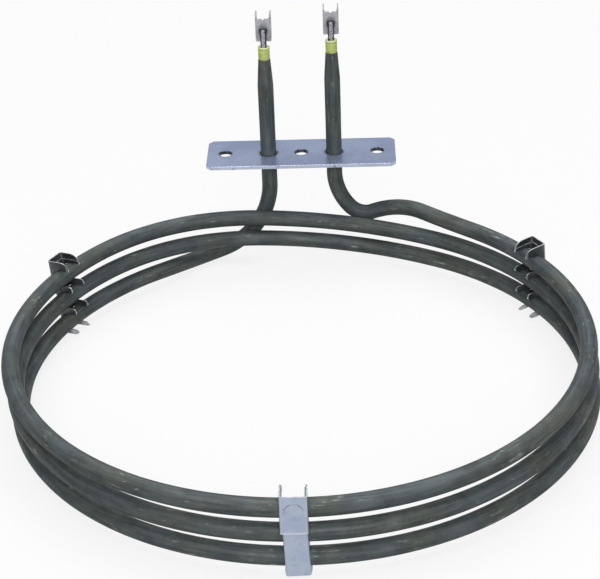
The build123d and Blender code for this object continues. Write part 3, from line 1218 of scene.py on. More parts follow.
@dataclass
class FoldedSheet:
    """Mesh of a U-shaped sheet in millimetres: web at the back, walls running towards +x."""

    back: float
    width: float
    bend_r: float
    boundaries: list[Edge]
    bands: list[Band]
    web_columns: int = 10
    wall_columns: int = 14
    web_lift: Callable[[float, float], float] = lambda y, z: 0.0
    bend_angles: tuple[float, ...] = (30.0, 60.0, 90.0)
    tip_share: float = 0.985
    flare_power: float = 1.5
    flare_onset: float = 3.0
    points: list[Triple] = field(default_factory=list)
    places: list[float] = field(default_factory=list)
    faces: list[tuple[int, ...]] = field(default_factory=list)

    def shared_columns(self) -> list[Triple]:
        """The columns across web and bends.

        Returns:
            Depth, width place and unrolled place of each.
        """
        flat = self.width / 2 - self.bend_r
        half = []
        for degrees in self.bend_angles:
            angle = math.radians(degrees)
            x = self.back + self.bend_r * (1 - math.cos(angle))
            half.append((x, flat + self.bend_r * math.sin(angle), flat + self.bend_r * angle))
        left = [(x, -y, -s) for x, y, s in reversed(half)]
        middle = []
        for step in range(self.web_columns + 1):
            y = flat * (2 * step / self.web_columns - 1)
            middle.append((self.back, y, y))
        return left + middle + half

    def add(self, x: float, y: float, z: float, unrolled: float) -> int:
        """Adds a point and its place on the unrolled sheet.

        Args:
            x: Depth in millimetres.
            y: Place across.
            z: Height.
            unrolled: Place across along the sheet.

        Returns:
            The point's number.
        """
        self.points.append((x * MM, y * MM, z * MM))
        self.places += (unrolled * MM, z * MM, 0.0)
        return len(self.points) - 1

    def build(self) -> bpy.types.Mesh:
        """Fills the lists and makes the open mid-surface mesh.

        Returns:
            The mesh.
        """
        columns = self.shared_columns()
        grid = [self.web_line(x, y, unrolled) for x, y, unrolled in columns]
        for left, right in zip(grid, grid[1:]):
            for row in range(len(left) - 1):
                self.faces.append((left[row], right[row], right[row + 1], left[row + 1]))
        start = 0
        for number, band in enumerate(self.bands):
            end = start + band.rows
            self.add_wall(number, band, -1, columns[0], grid[0][start : end + 1])
            self.add_wall(number, band, 1, columns[-1], grid[-1][start : end + 1])
            start = end
        mesh = bpy.data.meshes.new("folded_sheet")
        mesh.from_pydata(self.points, [], self.faces)
        mark_places(mesh, SHEET_ATTRIBUTE, self.places)
        return mesh

    def web_line(self, x: float, y: float, unrolled: float) -> list[int]:
        """Adds the points of one column through all bands.

        Args:
            x: The column's depth.
            y: Its place across.
            unrolled: Its place across along the sheet.

        Returns:
            The points' numbers from the foot up.
        """
        line: list[int] = []
        for number, band in enumerate(self.bands):
            low = self.boundaries[number](x, y)
            high = self.boundaries[number + 1](x, y)
            first = 0 if number == 0 else 1
            for row in range(first, band.rows + 1):
                z = low + (high - low) * row / band.rows
                line.append(self.add(x + self.web_lift(y, z), y, z, unrolled))
        return line

    def add_wall(
        self, number: int, band: Band, side: int, column: Triple, line: list[int]
    ) -> None:
        """Runs one side wall of a band out from its bend, if the band has walls.

        Args:
            number: The band's number.
            band: Its form.
            side: -1 or 1.
            column: The bend's last column.
            line: That column's points.
        """
        if band.reach is None:
            return
        start, y, unrolled = column
        reach = band.reach
        for step in range(1, self.wall_columns + 1):
            x = start + (reach - start) * step / self.wall_columns
            low = self.boundaries[number](x, y)
            high = self.boundaries[number + 1](x, y)
            share = 0.0
            if band.rounding:
                share = max(0.0, (x - reach + band.rounding) / band.rounding)
            keep = math.sqrt(max(1 - (self.tip_share * share) ** 2, 0.0))
            middle = (low + high) / 2
            along = (x - start) / (reach - start)
            onset = min(1.0, self.flare_onset * along)
            following = []
            for row in range(band.rows + 1):
                height = low + (high - low) * row / band.rows
                z = middle + (height - middle) * keep
                lean = band.flare * (1 - row / band.rows) ** self.flare_power * onset
                out = lean + band.curl * along**3
                following.append(self.add(x, y + side * out, z, unrolled + side * (x - start)))
            for row in range(band.rows):
                corners = (line[row], following[row], following[row + 1], line[row + 1])
                self.faces.append(corners)
            line = following


@dataclass(frozen=True)
class SheetStock:
    """Thin sheet of one thickness that a folded piece is made of, with broken edges."""

    sheet: float
    finish: Finish
    edge_round: float = 0.06 * MM
    edge_segments: int = 2

    def dress(
        self, mesh: bpy.types.Mesh, name: str, place: Matrix, shop: FinishShop
    ) -> bpy.types.Object:
        """Thickens a mid-surface, breaks its edges and gives its rim bright cut steel.

        Args:
            mesh: The open mid-surface.
            name: The piece's name.
            place: Where the piece stands.
            shop: Where the finishes come from.

        Returns:
            The piece.
        """
        face_outward(mesh)
        mesh.transform(place)
        mesh.name = name
        mesh.shade_smooth()
        piece = new_object(name, mesh, shop.get(self.finish), shop.get(Finish.CUT))
        solid = piece.modifiers.new("sheet", "SOLIDIFY")
        solid.thickness = self.sheet
        solid.offset = 0.0
        solid.use_even_offset = True
        solid.material_offset_rim = 1
        soften_edges(piece, self.edge_round, self.edge_segments, SHARP_ANGLE)
        return piece


# ------------------------------------------------------------------ assemblies


@dataclass(frozen=True)
class Section:
    """One round cross-section of the tube."""

    distance: float
    point: Vector
    heading: Vector
    radius: float


@dataclass
class SheathTube:
    """The bent tube as one fine skin, with swaged tips and a slight waver."""

    route: TubeRoute = field(default_factory=TubeRoute)
    tube_r: float = 3.25 * MM
    tip_r: float = 2.45 * MM
    tip_bore_r: float = 1.95 * MM
    taper: float = 11.3 * MM
    tip_rounding: float = 0.25 * MM
    mouth_depth: float = 2.0 * MM
    ring_step: float = 1.6 * MM
    bend_step: float = 0.9 * MM
    bend_limit: float = 60.0 * MM
    sides: int = 40
    waver: float = 0.018 * MM
    slow_wave: float = 61.0
    quick_wave: float = 173.0
    wave_shift: float = 1.3

    def stations(self) -> list[tuple[float, Vector, Vector]]:
        """Places along the route where the tube has a cross-section.

        Returns:
            Distance, point and direction of each.
        """
        found: list[tuple[float, Vector, Vector]] = []
        travelled = 0.0
        for arc in self.route.arcs():
            tight = arc.turn > 0 and arc.length / arc.turn < self.bend_limit
            straight = arc.turn == 0
            step = self.bend_step if tight or straight else self.ring_step
            count = max(2, round(arc.length / step))
            for index in range(count):
                distance = arc.length * index / count
                found.append((travelled + distance, *arc.at(distance)))
            travelled += arc.length
        found.append((travelled, *self.route.arcs()[-1].end()))
        return found

    def radius(self, distance: float, total: float) -> float:
        """Skin radius at a distance along the tube, with swaged tips and a slight waver.

        Args:
            distance: Distance from the right tip.
            total: The tube's whole length.

        Returns:
            The radius.
        """
        from_tip = min(distance, total - distance)
        share = min(from_tip / self.taper, 1.0)
        taper = self.tip_r + (self.tube_r - self.tip_r) * share
        wave = math.sin(distance * self.slow_wave)
        wave += math.sin(distance * self.quick_wave + self.wave_shift)
        rim = max(0.0, self.tip_rounding - from_tip)
        rounding = self.tip_rounding - math.sqrt(max(self.tip_rounding**2 - rim**2, 0.0))
        return taper - rounding - self.waver * (1 + wave / 2) * share

    def mouth(
        self, start: float, tip: Vector, heading: Vector, side: int, total: float
    ) -> list[Section]:
        """Cross-sections from inside a tip's bore out and round its rim.

        Args:
            start: The tip's distance along the tube.
            tip: The tip's middle.
            heading: Direction of travel there.
            side: 1 where the tube runs on from the tip, -1 where it ends there.
            total: The tube's whole length.

        Returns:
            The sections, innermost first.
        """
        found = []
        for depth in (self.mouth_depth, self.tip_rounding):
            point = tip + heading * (side * depth)
            found.append(Section(start, point, heading, self.tip_bore_r))
        found.append(Section(start, tip, heading, self.tip_bore_r + self.tip_rounding / 2))
        for offset in (0.0, self.tip_rounding / 2, self.tip_rounding):
            distance = start + side * offset
            point = tip + heading * (side * offset)
            found.append(Section(distance, point, heading, self.radius(distance, total)))
        return found

    def sections(self) -> list[Section]:
        """All cross-sections from inside the right mouth to inside the left one.

        Returns:
            The sections in order.
        """
        stations = self.stations()
        total = stations[-1][0]
        margin = self.bend_step / 2
        found = self.mouth(*stations[0], 1, total)
        for distance, point, heading in stations:
            if margin < distance < total - margin:
                radius = self.radius(distance, total)
                found.append(Section(distance, point, heading, radius))
        return found + self.mouth(*stations[-1], -1, total)[::-1]

    def build(self, shop: FinishShop) -> bpy.types.Object:
        """Makes, dresses and settles the tube.

        The rings of points are carried along the route without twist.

        Args:
            shop: Where the finishes come from.

        Returns:
            The tube.
        """
        sections = self.sections()
        vertices: list[Vector] = []
        places: list[float] = []
        normal = Vector((0.0, 1.0, 0.0))
        for section in sections:
            heading, radius = section.heading, section.radius
            normal = (normal - heading * normal.dot(heading)).normalized()
            across = heading.cross(normal)
            for side in range(self.sides):
                angle = 2 * math.pi * side / self.sides
                spoke = normal * math.cos(angle) + across * math.sin(angle)
                vertices.append(section.point + spoke * radius)
                places += (section.distance, radius * math.cos(angle), radius * math.sin(angle))
        mesh = bpy.data.meshes.new("sheath_skin")
        mesh.from_pydata(vertices, [], tube_faces(len(sections), self.sides))
        mark_places(mesh, TUBE_ATTRIBUTE, places)
        mesh.shade_smooth()
        piece = new_object("sheath_skin", mesh, shop.get(Finish.SHEATH))
        settle(piece, "sheath", "sheath_tube")
        return piece


@dataclass
class SheetPiece:
    """A sheet piece taken from its CAD node: welded, with softened edges and marked cuts."""

    node: str
    slot: str
    finish: Finish
    sheet: float
    edge_round: float = 0.15 * MM
    edge_segments: int = 3
    edge_angle: float = 35.0
    weld_distance: float = 0.002 * MM
    flat_angle: float = 0.5
    sharp_angle: float = 30.0
    width_margin: float = 0.12
    side_margin: float = 0.06

    def build(self, frame: dict[str, Any], shop: FinishShop) -> bpy.types.Object:
        """Makes, dresses and settles the piece.

        Args:
            frame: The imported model.
            shop: Where the finishes come from.

        Returns:
            The piece.
        """
        mesh = self.welded(frame["nodes"][self.node].data)
        self.mark_cuts(mesh)
        mesh.materials.clear()
        piece = new_object(f"{self.node}_fine", mesh, shop.get(self.finish))
        soften_edges(piece, self.edge_round, self.edge_segments, self.edge_angle)
        settle(piece, self.slot, self.node)
        return piece

    def welded(self, source: bpy.types.Mesh) -> bpy.types.Mesh:
        """A copy with its split corners joined and its flat faces whole.

        Args:
            source: The CAD node's mesh.

        Returns:
            The new mesh.
        """
        work = bmesh.new()
        work.from_mesh(source)
        bmesh.ops.remove_doubles(work, verts=work.verts, dist=self.weld_distance)
        flat = math.radians(self.flat_angle)
        bmesh.ops.dissolve_limit(work, angle_limit=flat, verts=work.verts, edges=work.edges)
        mesh = bpy.data.meshes.new(f"{self.node}_fine")
        work.to_mesh(mesh)
        work.free()
        if "custom_normal" in mesh.attributes:
            mesh.attributes.remove(mesh.attributes["custom_normal"])
        mesh.shade_smooth()
        mesh.set_sharp_from_angle(angle=math.radians(self.sharp_angle))
        return mesh

    def mark_cuts(self, mesh: bpy.types.Mesh) -> None:
        """Marks the narrow faces where the sheet was cut.

        Args:
            mesh: The piece's mesh, which gains the attribute.
        """
        marks = mesh.attributes.new(CUT_ATTRIBUTE, "FLOAT", "FACE")
        for face in mesh.polygons:
            corners = [mesh.vertices[index].co for index in face.vertices]
            sides = [(corners[i] - corners[i - 1]).length for i in range(len(corners))]
            narrow = abs(face.area / max(sides) - self.sheet) < self.width_margin * self.sheet
            is_cut = narrow or self.has_sheet_sides(sides)
            marks.data[face.index].value = 1.0 if is_cut else 0.0

    def has_sheet_sides(self, sides: list[float]) -> bool:
        """Whether a four-sided face is as wide as the sheet is thick.

        Args:
            sides: Lengths of the face's sides in order.

        Returns:
            True if one pair of sides is.
        """
        if len(sides) != 4:
            return False
        pairs = (sides[0] + sides[2], sides[1] + sides[3])
        margin = self.side_margin * self.sheet
        return any(abs(pair / 2 - self.sheet) < margin for pair in pairs)


@dataclass
class CastBead:
    """End seal as a turned bead with a soft flange and a dished top."""

    node: str
    x: float
    tip_z: float
    body_r: float = 2.31 * MM
    rim_r: float = 2.43 * MM
    rim_height: float = 1.0 * MM
    height: float = 5.4 * MM
    softness: float = 0.3 * MM
    pin_r: float = 1.25 * MM
    spigot_r: float = 1.9 * MM
    spigot: float = 4.0 * MM
    under_rim: float = -80.0
    crown_rise: float = 1.4 / MM
    corner_steps: int = 5
    sides: int = 48

    def profile(self) -> list[Pair]:
        """Turned outline, from the pin round to the spigot.

        Returns:
            Radius and height of each point.
        """
        soft = self.softness
        rim_low = self.height - self.rim_height
        points = [(self.pin_r, self.height - soft), (self.pin_r + soft, self.height - soft / 2)]
        points += self.corner(self.rim_r - soft, self.height - soft, 90, 0)
        points += self.corner(self.rim_r - soft, rim_low + soft, 0, self.under_rim)
        points += [(self.body_r, rim_low - soft / 2), (self.body_r + soft / 6, self.height / 2)]
        points += self.corner(self.body_r - soft, soft, 0, -90)
        points += [(self.spigot_r, 0.0), (self.spigot_r, -self.spigot)]
        points.append((self.pin_r, -self.spigot))
        return points

    def corner(self, r: float, z: float, start: float, end: float) -> list[Pair]:
        """Rounded corner of the outline.

        Args:
            r: Radius of the corner's centre.
            z: Its height.
            start: First angle in degrees.
            end: Last angle.

        Returns:
            Its points.
        """
        points = []
        for step in range(self.corner_steps + 1):
            angle = math.radians(start + (end - start) * step / self.corner_steps)
            height = z + self.softness * math.sin(angle)
            points.append((r + self.softness * math.cos(angle), height))
        return points

    def build(self, shop: FinishShop) -> bpy.types.Object:
        """Makes, dresses and settles the bead.

        Args:
            shop: Where the finishes come from.

        Returns:
            The bead.
        """
        outline = self.profile()
        count = len(outline)
        vertices = []
        faces = []
        for step in range(self.sides):
            angle = 2 * math.pi * step / self.sides
            a = step * count
            b = (step + 1) % self.sides * count
            for index, (radius, height) in enumerate(outline):
                x = self.x + radius * math.cos(angle)
                vertices.append((x, radius * math.sin(angle), self.tip_z + height))
                onward = (index + 1) % count
                faces.append((a + index, b + index, b + onward, a + onward))
        name = f"{self.node}_bead"
        mesh = bpy.data.meshes.new(name)
        mesh.from_pydata(vertices, [], faces)
        face_outward(mesh)
        rim = self.tip_z + self.height - self.rim_height
        rises = [(vertex.co.z - rim) * self.crown_rise for vertex in mesh.vertices]
        mark_crown(mesh, [min(1.0, max(0.0, rise)) for rise in rises])
        piece = new_object(name, mesh, shop.get(Finish.BEAD))
        settle(piece, "seal", self.node)
        return piece


@dataclass
class RingClip:
    """Comb and cap folded round the three turns at one place of the ring, in millimetres."""

    place: str
    azimuth: float
    lean: float = 0.0
    comb_finish: Finish = Finish.FRONT_COMB
    cap_finish: Finish = Finish.FRONT_CAP
    route: TubeRoute = field(default_factory=TubeRoute)
    slot_r: float = 3.34
    slot_floor: float = 1.7
    sheet: float = 0.45
    comb_width: float = 7.75
    comb_bend_r: float = 0.575
    comb_back: float = -3.6
    comb_rise: float = 4.9
    comb_drop: float = 5.3
    tongue: Band = Band(5, 4.4, rounding=2.2, flare=0.35)
    slot: Band = Band(6)
    finger: Band = Band(6, 5.2, rounding=1.5, curl=0.35)
    top_finger: Band = Band(6, 4.7, rounding=1.6)
    cap_width: float = 8.8
    cap_bend_r: float = 0.575
    cap_back: float = -4.225
    cap_rise: float = 7.15
    cap_drop: float = 7.2
    cap_reach: float = 4.9
    cap_curl: float = -0.45
    cap_crest: float = 0.6
    cap_tip_rise: float = 3.95
    crest_power: float = 2.3
    cap_lip: float = -0.9
    cap_rows: tuple[int, int, int] = (14, 8, 12)
    cap_columns: int = 18
    lip_height: float = 1.0
    lip_turn: float = 0.22
    weld_rise: float = 1.3
    weld_r: float = 3.0
    weld_slope: float = 0.5
    weld_depth: float = 0.12

    def drop(self) -> float:
        """Distance between two turns along the clip, in millimetres."""
        sideways = self.route.drift * math.cos(math.radians(self.azimuth))
        return math.hypot(self.route.pitch, sideways) / MM

    def frame(self, lean: float) -> Matrix:
        """Clip axes at the top turn: x inward, y along the tube, z up the turns.

        Args:
            lean: Turn about x in degrees.

        Returns:
            The matrix.
        """
        angle = math.radians(self.azimuth)
        outward = Vector((math.cos(angle), math.sin(angle), 0.0))
        sideways = Vector((-math.sin(angle), math.cos(angle), 0.0))
        fall = self.route.drift * math.cos(angle)
        upward = (Vector((0, 0, self.route.pitch)) - outward * fall).normalized()
        inward = upward.cross(sideways)
        axes = Matrix((inward, sideways, upward)).transposed().to_4x4()
        origin = Matrix.Translation(self.route.turn_point(0, self.azimuth))
        return origin @ axes @ Matrix.Rotation(math.radians(lean), 4, "X")

    def slot_edge(self, x: float) -> float:
        """Half height of a slot at a depth."""
        return math.sqrt(max(self.slot_r**2 - min(x, 0.0) ** 2, self.slot_floor))

    def turn_edge(self, turn: int, side: int) -> Edge:
        """Lower (-1) or upper (1) edge of one turn's slot."""
        return lambda x, y: -turn * self.drop() + side * self.slot_edge(x)

    def build_comb(self, shop: FinishShop) -> bpy.types.Object:
        """Inner comb with rounded fingers and tongues.

        Args:
            shop: Where the finishes come from.

        Returns:
            The comb.
        """
        last = self.route.turns - 1
        foot = -last * self.drop() - self.comb_drop
        boundaries: list[Edge] = [lambda x, y: foot]
        bands = [self.tongue]
        for turn in range(last, -1, -1):
            boundaries += [self.turn_edge(turn, -1), self.turn_edge(turn, 1)]
            bands += [self.slot, self.finger if turn else self.top_finger]
        boundaries.append(lambda x, y: self.comb_rise)
        width, bend_r = self.comb_width, self.comb_bend_r
        sheet = FoldedSheet(self.comb_back, width, bend_r, boundaries, bands)
        stock = SheetStock(self.sheet * MM, self.comb_finish)
        name = f"comb_{self.place}"
        piece = stock.dress(sheet.build(), name, self.frame(self.lean), shop)
        settle(piece, "clip", f"clip_comb_{self.place}")
        return piece

    def crest(self, x: float, y: float) -> float:
        """Top edge of the cap: level web, then a round fall to the wing's tip.

        Args:
            x: Depth.
            y: Place across, which changes nothing.

        Returns:
            The height.
        """
        share = max(0.0, (x - self.cap_crest) / (self.cap_reach - self.cap_crest))
        fall = self.cap_rise - self.cap_tip_rise
        return self.cap_rise - fall * (1 - math.sqrt(max(1 - share**self.crest_power, 0.0)))

    def cap_foot(self, x: float, y: float) -> float:
        """Low edge of the cap, cut away above the second turn."""
        return max(-self.cap_drop, -self.drop() + self.slot_edge(x))

    def web_relief(self, y: float, z: float) -> float:
        """Shallow weld print in the cap's web and the turned-out lip at its foot.

        Args:
            y: Place across.
            z: Height.

        Returns:
            How far the web is pushed inward.
        """
        away = math.hypot(y, z - self.weld_rise)
        slope = max(0.0, min(1.0, (self.weld_r - away) / self.weld_slope))
        lip = max(0.0, (-self.cap_drop + self.lip_height - z) / self.lip_height)
        return self.weld_depth * slope - self.lip_turn * lip**2

    def build_cap(self, shop: FinishShop) -> bpy.types.Object:
        """Outer cap with crested wings, a weld print and a turned lip.

        Args:
            shop: Where the finishes come from.

        Returns:
            The cap.
        """
        boundaries = [self.cap_foot, self.turn_edge(0, -1), self.turn_edge(0, 1), self.crest]
        low, middle, high = self.cap_rows
        wing = Band(high, self.cap_reach, curl=self.cap_curl)
        sheet = FoldedSheet(
            back=self.cap_back,
            width=self.cap_width,
            bend_r=self.cap_bend_r,
            boundaries=boundaries,
            bands=[Band(low, self.cap_lip), Band(middle), wing],
            web_columns=self.cap_columns,
            wall_columns=self.cap_columns,
            web_lift=self.web_relief,
        )
        stock = SheetStock(self.sheet * MM, self.cap_finish)
        name = f"cap_{self.place}"
        piece = stock.dress(sheet.build(), name, self.frame(0.0), shop)
        settle(piece, "clip", f"clip_cap_{self.place}")
        return piece

    def build(self, shop: FinishShop) -> list[bpy.types.Object]:
        """Comb and cap, in this order."""
        return [self.build_comb(shop), self.build_cap(shop)]


@dataclass
class TabTerminal:
    """Folded terminal: notched web behind the pin, a tab bent back on each side.

    Its place is in metres and its sizes are in millimetres.
    """

    side: str
    x: float
    low: float
    width: float = 6.3
    sheet: float = 0.55
    bend_r: float = 0.45
    web_front: float = 1.28
    depth: float = 6.3
    height: float = 11.1
    web_height: float = 9.6
    notch_half: float = 0.75
    notch_depth: float = 0.8
    corner: float = 0.9
    shoulder_share: float = 0.6
    web_margin: float = 0.01
    rows: int = 16
    web_columns: int = 16
    tab_columns: int = 12

    def top(self, x: float, y: float) -> float:
        """Top edge: notched web, then the taller side tabs with a cut corner.

        Args:
            x: Depth.
            y: Place across.

        Returns:
            The height.
        """
        flat = self.width / 2 - self.sheet / 2 - self.bend_r
        if abs(y) < flat + self.web_margin:
            return self.web_height - self.notch_depth * max(0.0, 1 - abs(y) / self.notch_half)
        if x < self.bend_r * self.shoulder_share:
            return (self.web_height + self.height) / 2
        return self.height - self.foot(x, y)

    def foot(self, x: float, y: float) -> float:
        """Low edge, whose corner is cut like the top one's."""
        return max(0.0, x - (self.depth - self.sheet / 2 - self.corner))

    def build(self, shop: FinishShop) -> bpy.types.Object:
        """Makes, dresses and settles the terminal.

        Args:
            shop: Where the finishes come from.

        Returns:
            The terminal.
        """
        sheet = FoldedSheet(
            back=0.0,
            width=self.width - self.sheet,
            bend_r=self.bend_r,
            boundaries=[self.foot, self.top],
            bands=[Band(self.rows, self.depth - self.sheet / 2)],
            web_columns=self.web_columns,
            wall_columns=self.tab_columns,
        )
        turned = Matrix(((0, -1, 0, 0), (1, 0, 0, 0), (0, 0, 1, 0), (0, 0, 0, 1)))
        front = (self.web_front + self.sheet / 2) * MM
        place = Matrix.Translation((self.x, front, self.low)) @ turned
        stock = SheetStock(self.sheet * MM, Finish.TERMINAL)
        piece = stock.dress(sheet.build(), f"tab_{self.side}", place, shop)
        settle(piece, "terminal", f"terminal_{self.side}")
        return piece


@dataclass
class ColdPin:
    """Turned pin that rises from the bead into a flattened, dished head.

    Its place is in metres and its sizes are in millimetres.
    """

    side: str
    x: float
    tip_z: float
    rise: float
    pin_r: float = 1.25
    head_half: float = 1.75
    head_length: float = 4.6
    head_steps: int = 12
    rim_r: float = 0.3
    rim_angles: tuple[float, ...] = (30.0, 60.0, 90.0)
    rim_crown: float = 0.55
    lip_inset: Pair = (0.5, 0.45)
    lip_fall: float = 0.05
    lip_crown: float = 0.6
    dish_inset: Pair = (0.75, 0.7)
    dish: float = 0.45
    buried: float = 3.5
    sides: int = 40

    def rings(self) -> list[tuple[float, float, float, float]]:
        """The pin's rings from its buried end up and into the dish.

        Returns:
            Height, half width, half depth and crown mark of each.
        """
        head, pin = self.head_half, self.pin_r
        start = self.rise - self.head_length
        found = [(-self.buried, pin, pin, 0.0)]
        for step in range(self.head_steps + 1):
            share = step / self.head_steps
            smooth = share * share * (3 - 2 * share)
            height = start + (self.head_length - self.rim_r) * share
            found.append((height, pin + (head - pin) * smooth, pin, 0.0))
        for angle in self.rim_angles:
            turn = math.radians(angle)
            inset = self.rim_r * (1 - math.cos(turn))
            height = self.rise - self.rim_r * (1 - math.sin(turn))
            found.append((height, head - inset, pin - inset, self.rim_crown))
        wide, deep = self.lip_inset
        found.append((self.rise - self.lip_fall, head - wide, pin - deep, self.lip_crown))
        wide, deep = self.dish_inset
        found.append((self.rise - self.dish, head - wide, pin - deep, 1.0))
        return found

    def build(self, shop: FinishShop) -> bpy.types.Object:
        """Makes, dresses and settles the pin.

        Args:
            shop: Where the finishes come from.

        Returns:
            The pin.
        """
        rings = self.rings()
        points = []
        crowns = []
        for height, half, depth, crown in rings:
            for step in range(self.sides):
                angle = 2 * math.pi * step / self.sides
                x = self.x + half * MM * math.cos(angle)
                points.append((x, depth * MM * math.sin(angle), self.tip_z + height * MM))
                crowns.append(crown)
        name = f"pin_{self.side}"
        mesh = bpy.data.meshes.new(name)
        mesh.from_pydata(points, [], tube_faces(len(rings), self.sides))
        mark_crown(mesh, crowns)
        piece = new_object(name, mesh, shop.get(Finish.PIN))
        settle(piece, "pin", f"cold_pin_{self.side}")
        return piece


@dataclass
class LegEnd:
    """Bead, pin and terminal on the tip of one leg, the pin's rise in millimetres."""

    side: str
    x: float
    tip: float
    pin_rise: float
    tab_rise: float = 7.0 * MM

    def build(self, shop: FinishShop) -> list[bpy.types.Object]:
        """Makes the three pieces.

        Args:
            shop: Where the finishes come from.

        Returns:
            Bead, pin and terminal.
        """
        bead = CastBead(f"end_seal_{self.side}", self.x, self.tip).build(shop)
        pin = ColdPin(self.side, self.x, self.tip, self.pin_rise).build(shop)
        tab = TabTerminal(self.side, self.x, self.tip + self.tab_rise).build(shop)
        return [bead, pin, tab]


# ------------------------------------------------------------- stage and light


@dataclass(frozen=True)
class SoftBox:
    """A square lamp: where it hangs, the length of its side and its watts."""

    name: str
    place: Triple
    size: float
    power: float

    def build(self, aim: Vector) -> None:
        """Adds the lamp, aimed at a point.

        Args:
            aim: The point.
        """
        data = bpy.data.lights.new(self.name, "AREA")
        data.shape = "SQUARE"
        data.size = self.size
        data.energy = self.power
        lamp = bpy.data.objects.new(self.name, data)
        lamp.location = self.place
        toward = aim - Vector(self.place)
        lamp.rotation_euler = toward.to_track_quat("-Z", "Y").to_euler()
        bpy.context.scene.collection.objects.link(lamp)


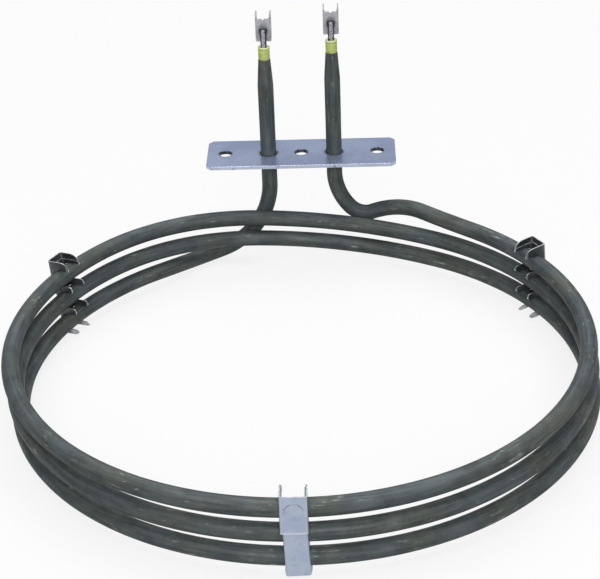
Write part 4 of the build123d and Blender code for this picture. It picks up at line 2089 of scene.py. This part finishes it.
@dataclass
class Studio:
    """Pale floor, soft lamps and the camera, whose place is in millimetres."""

    floor_z: float
    floor_size: float = 6.0
    aim: Triple = (0.0, -0.1, -0.02)
    floor_colour: Colour = Colour(222, 222, 222)
    bounce_colour: Colour = Colour(88, 88, 88)
    shadow_share: float = 0.18
    lamps: tuple[SoftBox, ...] = (
        SoftBox("overhead_box", (0.0, 0.0, 1.5), 2.2, 30.0),
        SoftBox("front_box", (0.1, -1.6, 0.8), 0.8, 18.0),
        SoftBox("high_back_box", (0.1, 1.0, 1.7), 1.2, 6.0),
        SoftBox("back_card", (0.1, 1.8, 1.0), 1.6, 2.2),
    )
    world_strength: float = 0.08
    backdrop: tuple[float, float, float, float] = (0.86, 0.86, 0.86, 1.0)
    azimuth: float = -1.927
    elevation: float = 29.593
    roll: float = -2.181
    camera_place: Triple = (20.166, -679.604, 320.569)
    focal_pixels: float = 1806.18
    frame_width: float = 600.0
    sensor: float = 36.0
    clip_start: float = 0.01

    def build(self) -> None:
        """Sets the floor, the lamps, the world and the camera."""
        self.build_floor()
        for lamp in self.lamps:
            lamp.build(Vector(self.aim))
        self.build_world()
        self.build_camera()
        bpy.context.scene.view_settings.view_transform = "Standard"

    def build_floor(self) -> None:
        """Large pale floor that shows nearly white and keeps a soft shadow."""
        half = self.floor_size / 2
        corners = [(-half, -half), (half, -half), (half, half), (-half, half)]
        mesh = bpy.data.meshes.new("floor")
        mesh.from_pydata([(x, y, self.floor_z) for x, y in corners], [], [(0, 1, 2, 3)])
        floor = new_object("floor", mesh)
        shader = Shader("floor_white")
        camera = shader.node("ShaderNodeLightPath", output="Is Camera Ray")
        glossy = shader.node("ShaderNodeLightPath", output="Is Glossy Ray")
        clear = shader.node("ShaderNodeLightPath", output="Is Transmission Ray")
        seen = camera + glossy + clear
        paint = shader.mix(self.bounce_colour.rgba, self.floor_colour.rgba, seen)
        matt = shader.node("ShaderNodeBsdfDiffuse", {}, {"Color": paint})
        bright = shader.node("ShaderNodeEmission", {}, {"Color": (1, 1, 1, 1), "Strength": 1.0})
        share = seen * (1 - self.shadow_share)
        both = shader.node("ShaderNodeMixShader", {}, {0: share, 1: matt, 2: bright})
        mesh.materials.append(shader.close(both))
        floor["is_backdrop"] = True

    def build_world(self) -> None:
        """Even pale surroundings, white to the camera."""
        world = bpy.data.worlds.new("surroundings")
        bpy.context.scene.world = world
        world.use_nodes = True
        graph = Graph(world.node_tree)
        soft = graph.node("ShaderNodeBackground", {}, {"Strength": self.world_strength})
        white = graph.node("ShaderNodeBackground", {}, {"Color": self.backdrop})
        camera = graph.node("ShaderNodeLightPath", output="Is Camera Ray")
        blend = graph.node("ShaderNodeMixShader", {}, {0: camera, 1: soft, 2: white})
        graph.node("ShaderNodeOutputWorld", {}, {"Surface": blend})

    def build_camera(self) -> None:
        """Long-lens camera, slightly above and turned to the ring."""
        azimuth = math.radians(self.azimuth)
        elevation = math.radians(self.elevation)
        roll = math.radians(self.roll)
        level = math.cos(elevation)
        across, ahead = math.sin(azimuth) * level, math.cos(azimuth) * level
        forward = Vector((across, ahead, -math.sin(elevation)))
        right = Vector((math.cos(azimuth), -math.sin(azimuth), 0.0))
        upward = right.cross(forward)
        turned_right = right * math.cos(roll) + upward * math.sin(roll)
        turned_up = upward * math.cos(roll) - right * math.sin(roll)
        rotation = Matrix((turned_right, turned_up, -forward)).transposed().to_4x4()
        data = bpy.data.cameras.new("camera")
        data.sensor_width = self.sensor
        data.lens = self.focal_pixels / self.frame_width * self.sensor
        data.clip_start = self.clip_start
        camera = bpy.data.objects.new("camera", data)
        camera.matrix_world = Matrix.Translation(Vector(self.camera_place) * MM) @ rotation
        bpy.context.scene.collection.objects.link(camera)
        bpy.context.scene.camera = camera


# ------------------------------------------------------------------------ main


def dress_hidden(frame: dict[str, Any], shop: FinishShop) -> None:
    """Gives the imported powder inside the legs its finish.

    Args:
        frame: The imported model.
        shop: Where the finishes come from.
    """
    for name in ("magnesia_left", "magnesia_right"):
        node = frame["nodes"][name]
        for slot in node.material_slots:
            slot.material = shop.get(Finish.POWDER)


def ring_clips() -> list[RingClip]:
    """The three clips with their places and finishes.

    Returns:
        Front, rear left and rear right.
    """
    # The rear clips take the clip finishes with painted shade.
    rear = {
        "comb_finish": Finish.SHADED_REAR_COMB,
        "cap_finish": Finish.SHADED_REAR_CAP,
        "comb_width": 7.0,
        "cap_width": 8.05,
        "cap_bend_r": 0.8,
    }
    return [
        RingClip("front", azimuth=270.0, lean=2.0, slot_r=3.42),
        RingClip("rear_left", azimuth=151.4, **rear),
        RingClip("rear_right", azimuth=31.2, **rear),
    ]


def leg_ends(route: TubeRoute) -> list[LegEnd]:
    """Both leg ends, left first.

    Args:
        route: The tube's route, which gives the tips.

    Returns:
        The leg ends.
    """
    return [
        LegEnd("left", -route.leg_x, route.left_tip, pin_rise=12.8),
        LegEnd("right", route.leg_x, route.right_tip, pin_rise=13.2),
    ]


def main() -> None:
    """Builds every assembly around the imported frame."""
    logging.basicConfig(level=logging.INFO, format="%(name)s: %(message)s")
    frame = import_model()
    cad_low, cad_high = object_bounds()
    shop = FinishShop()
    tube = SheathTube()
    LOG.info("built %s", tube.build(shop).name)
    plate = SheetPiece("mounting_plate", "plate", Finish.PLATE, sheet=1.5 * MM)
    LOG.info("built %s", plate.build(frame, shop).name)
    for assembly in (*ring_clips(), *leg_ends(tube.route)):
        for piece in assembly.build(shop):
            LOG.info("built %s", piece.name)
    dress_hidden(frame, shop)
    Studio(floor_z=cad_low[2]).build()


if __name__ == "__main__":
    main()
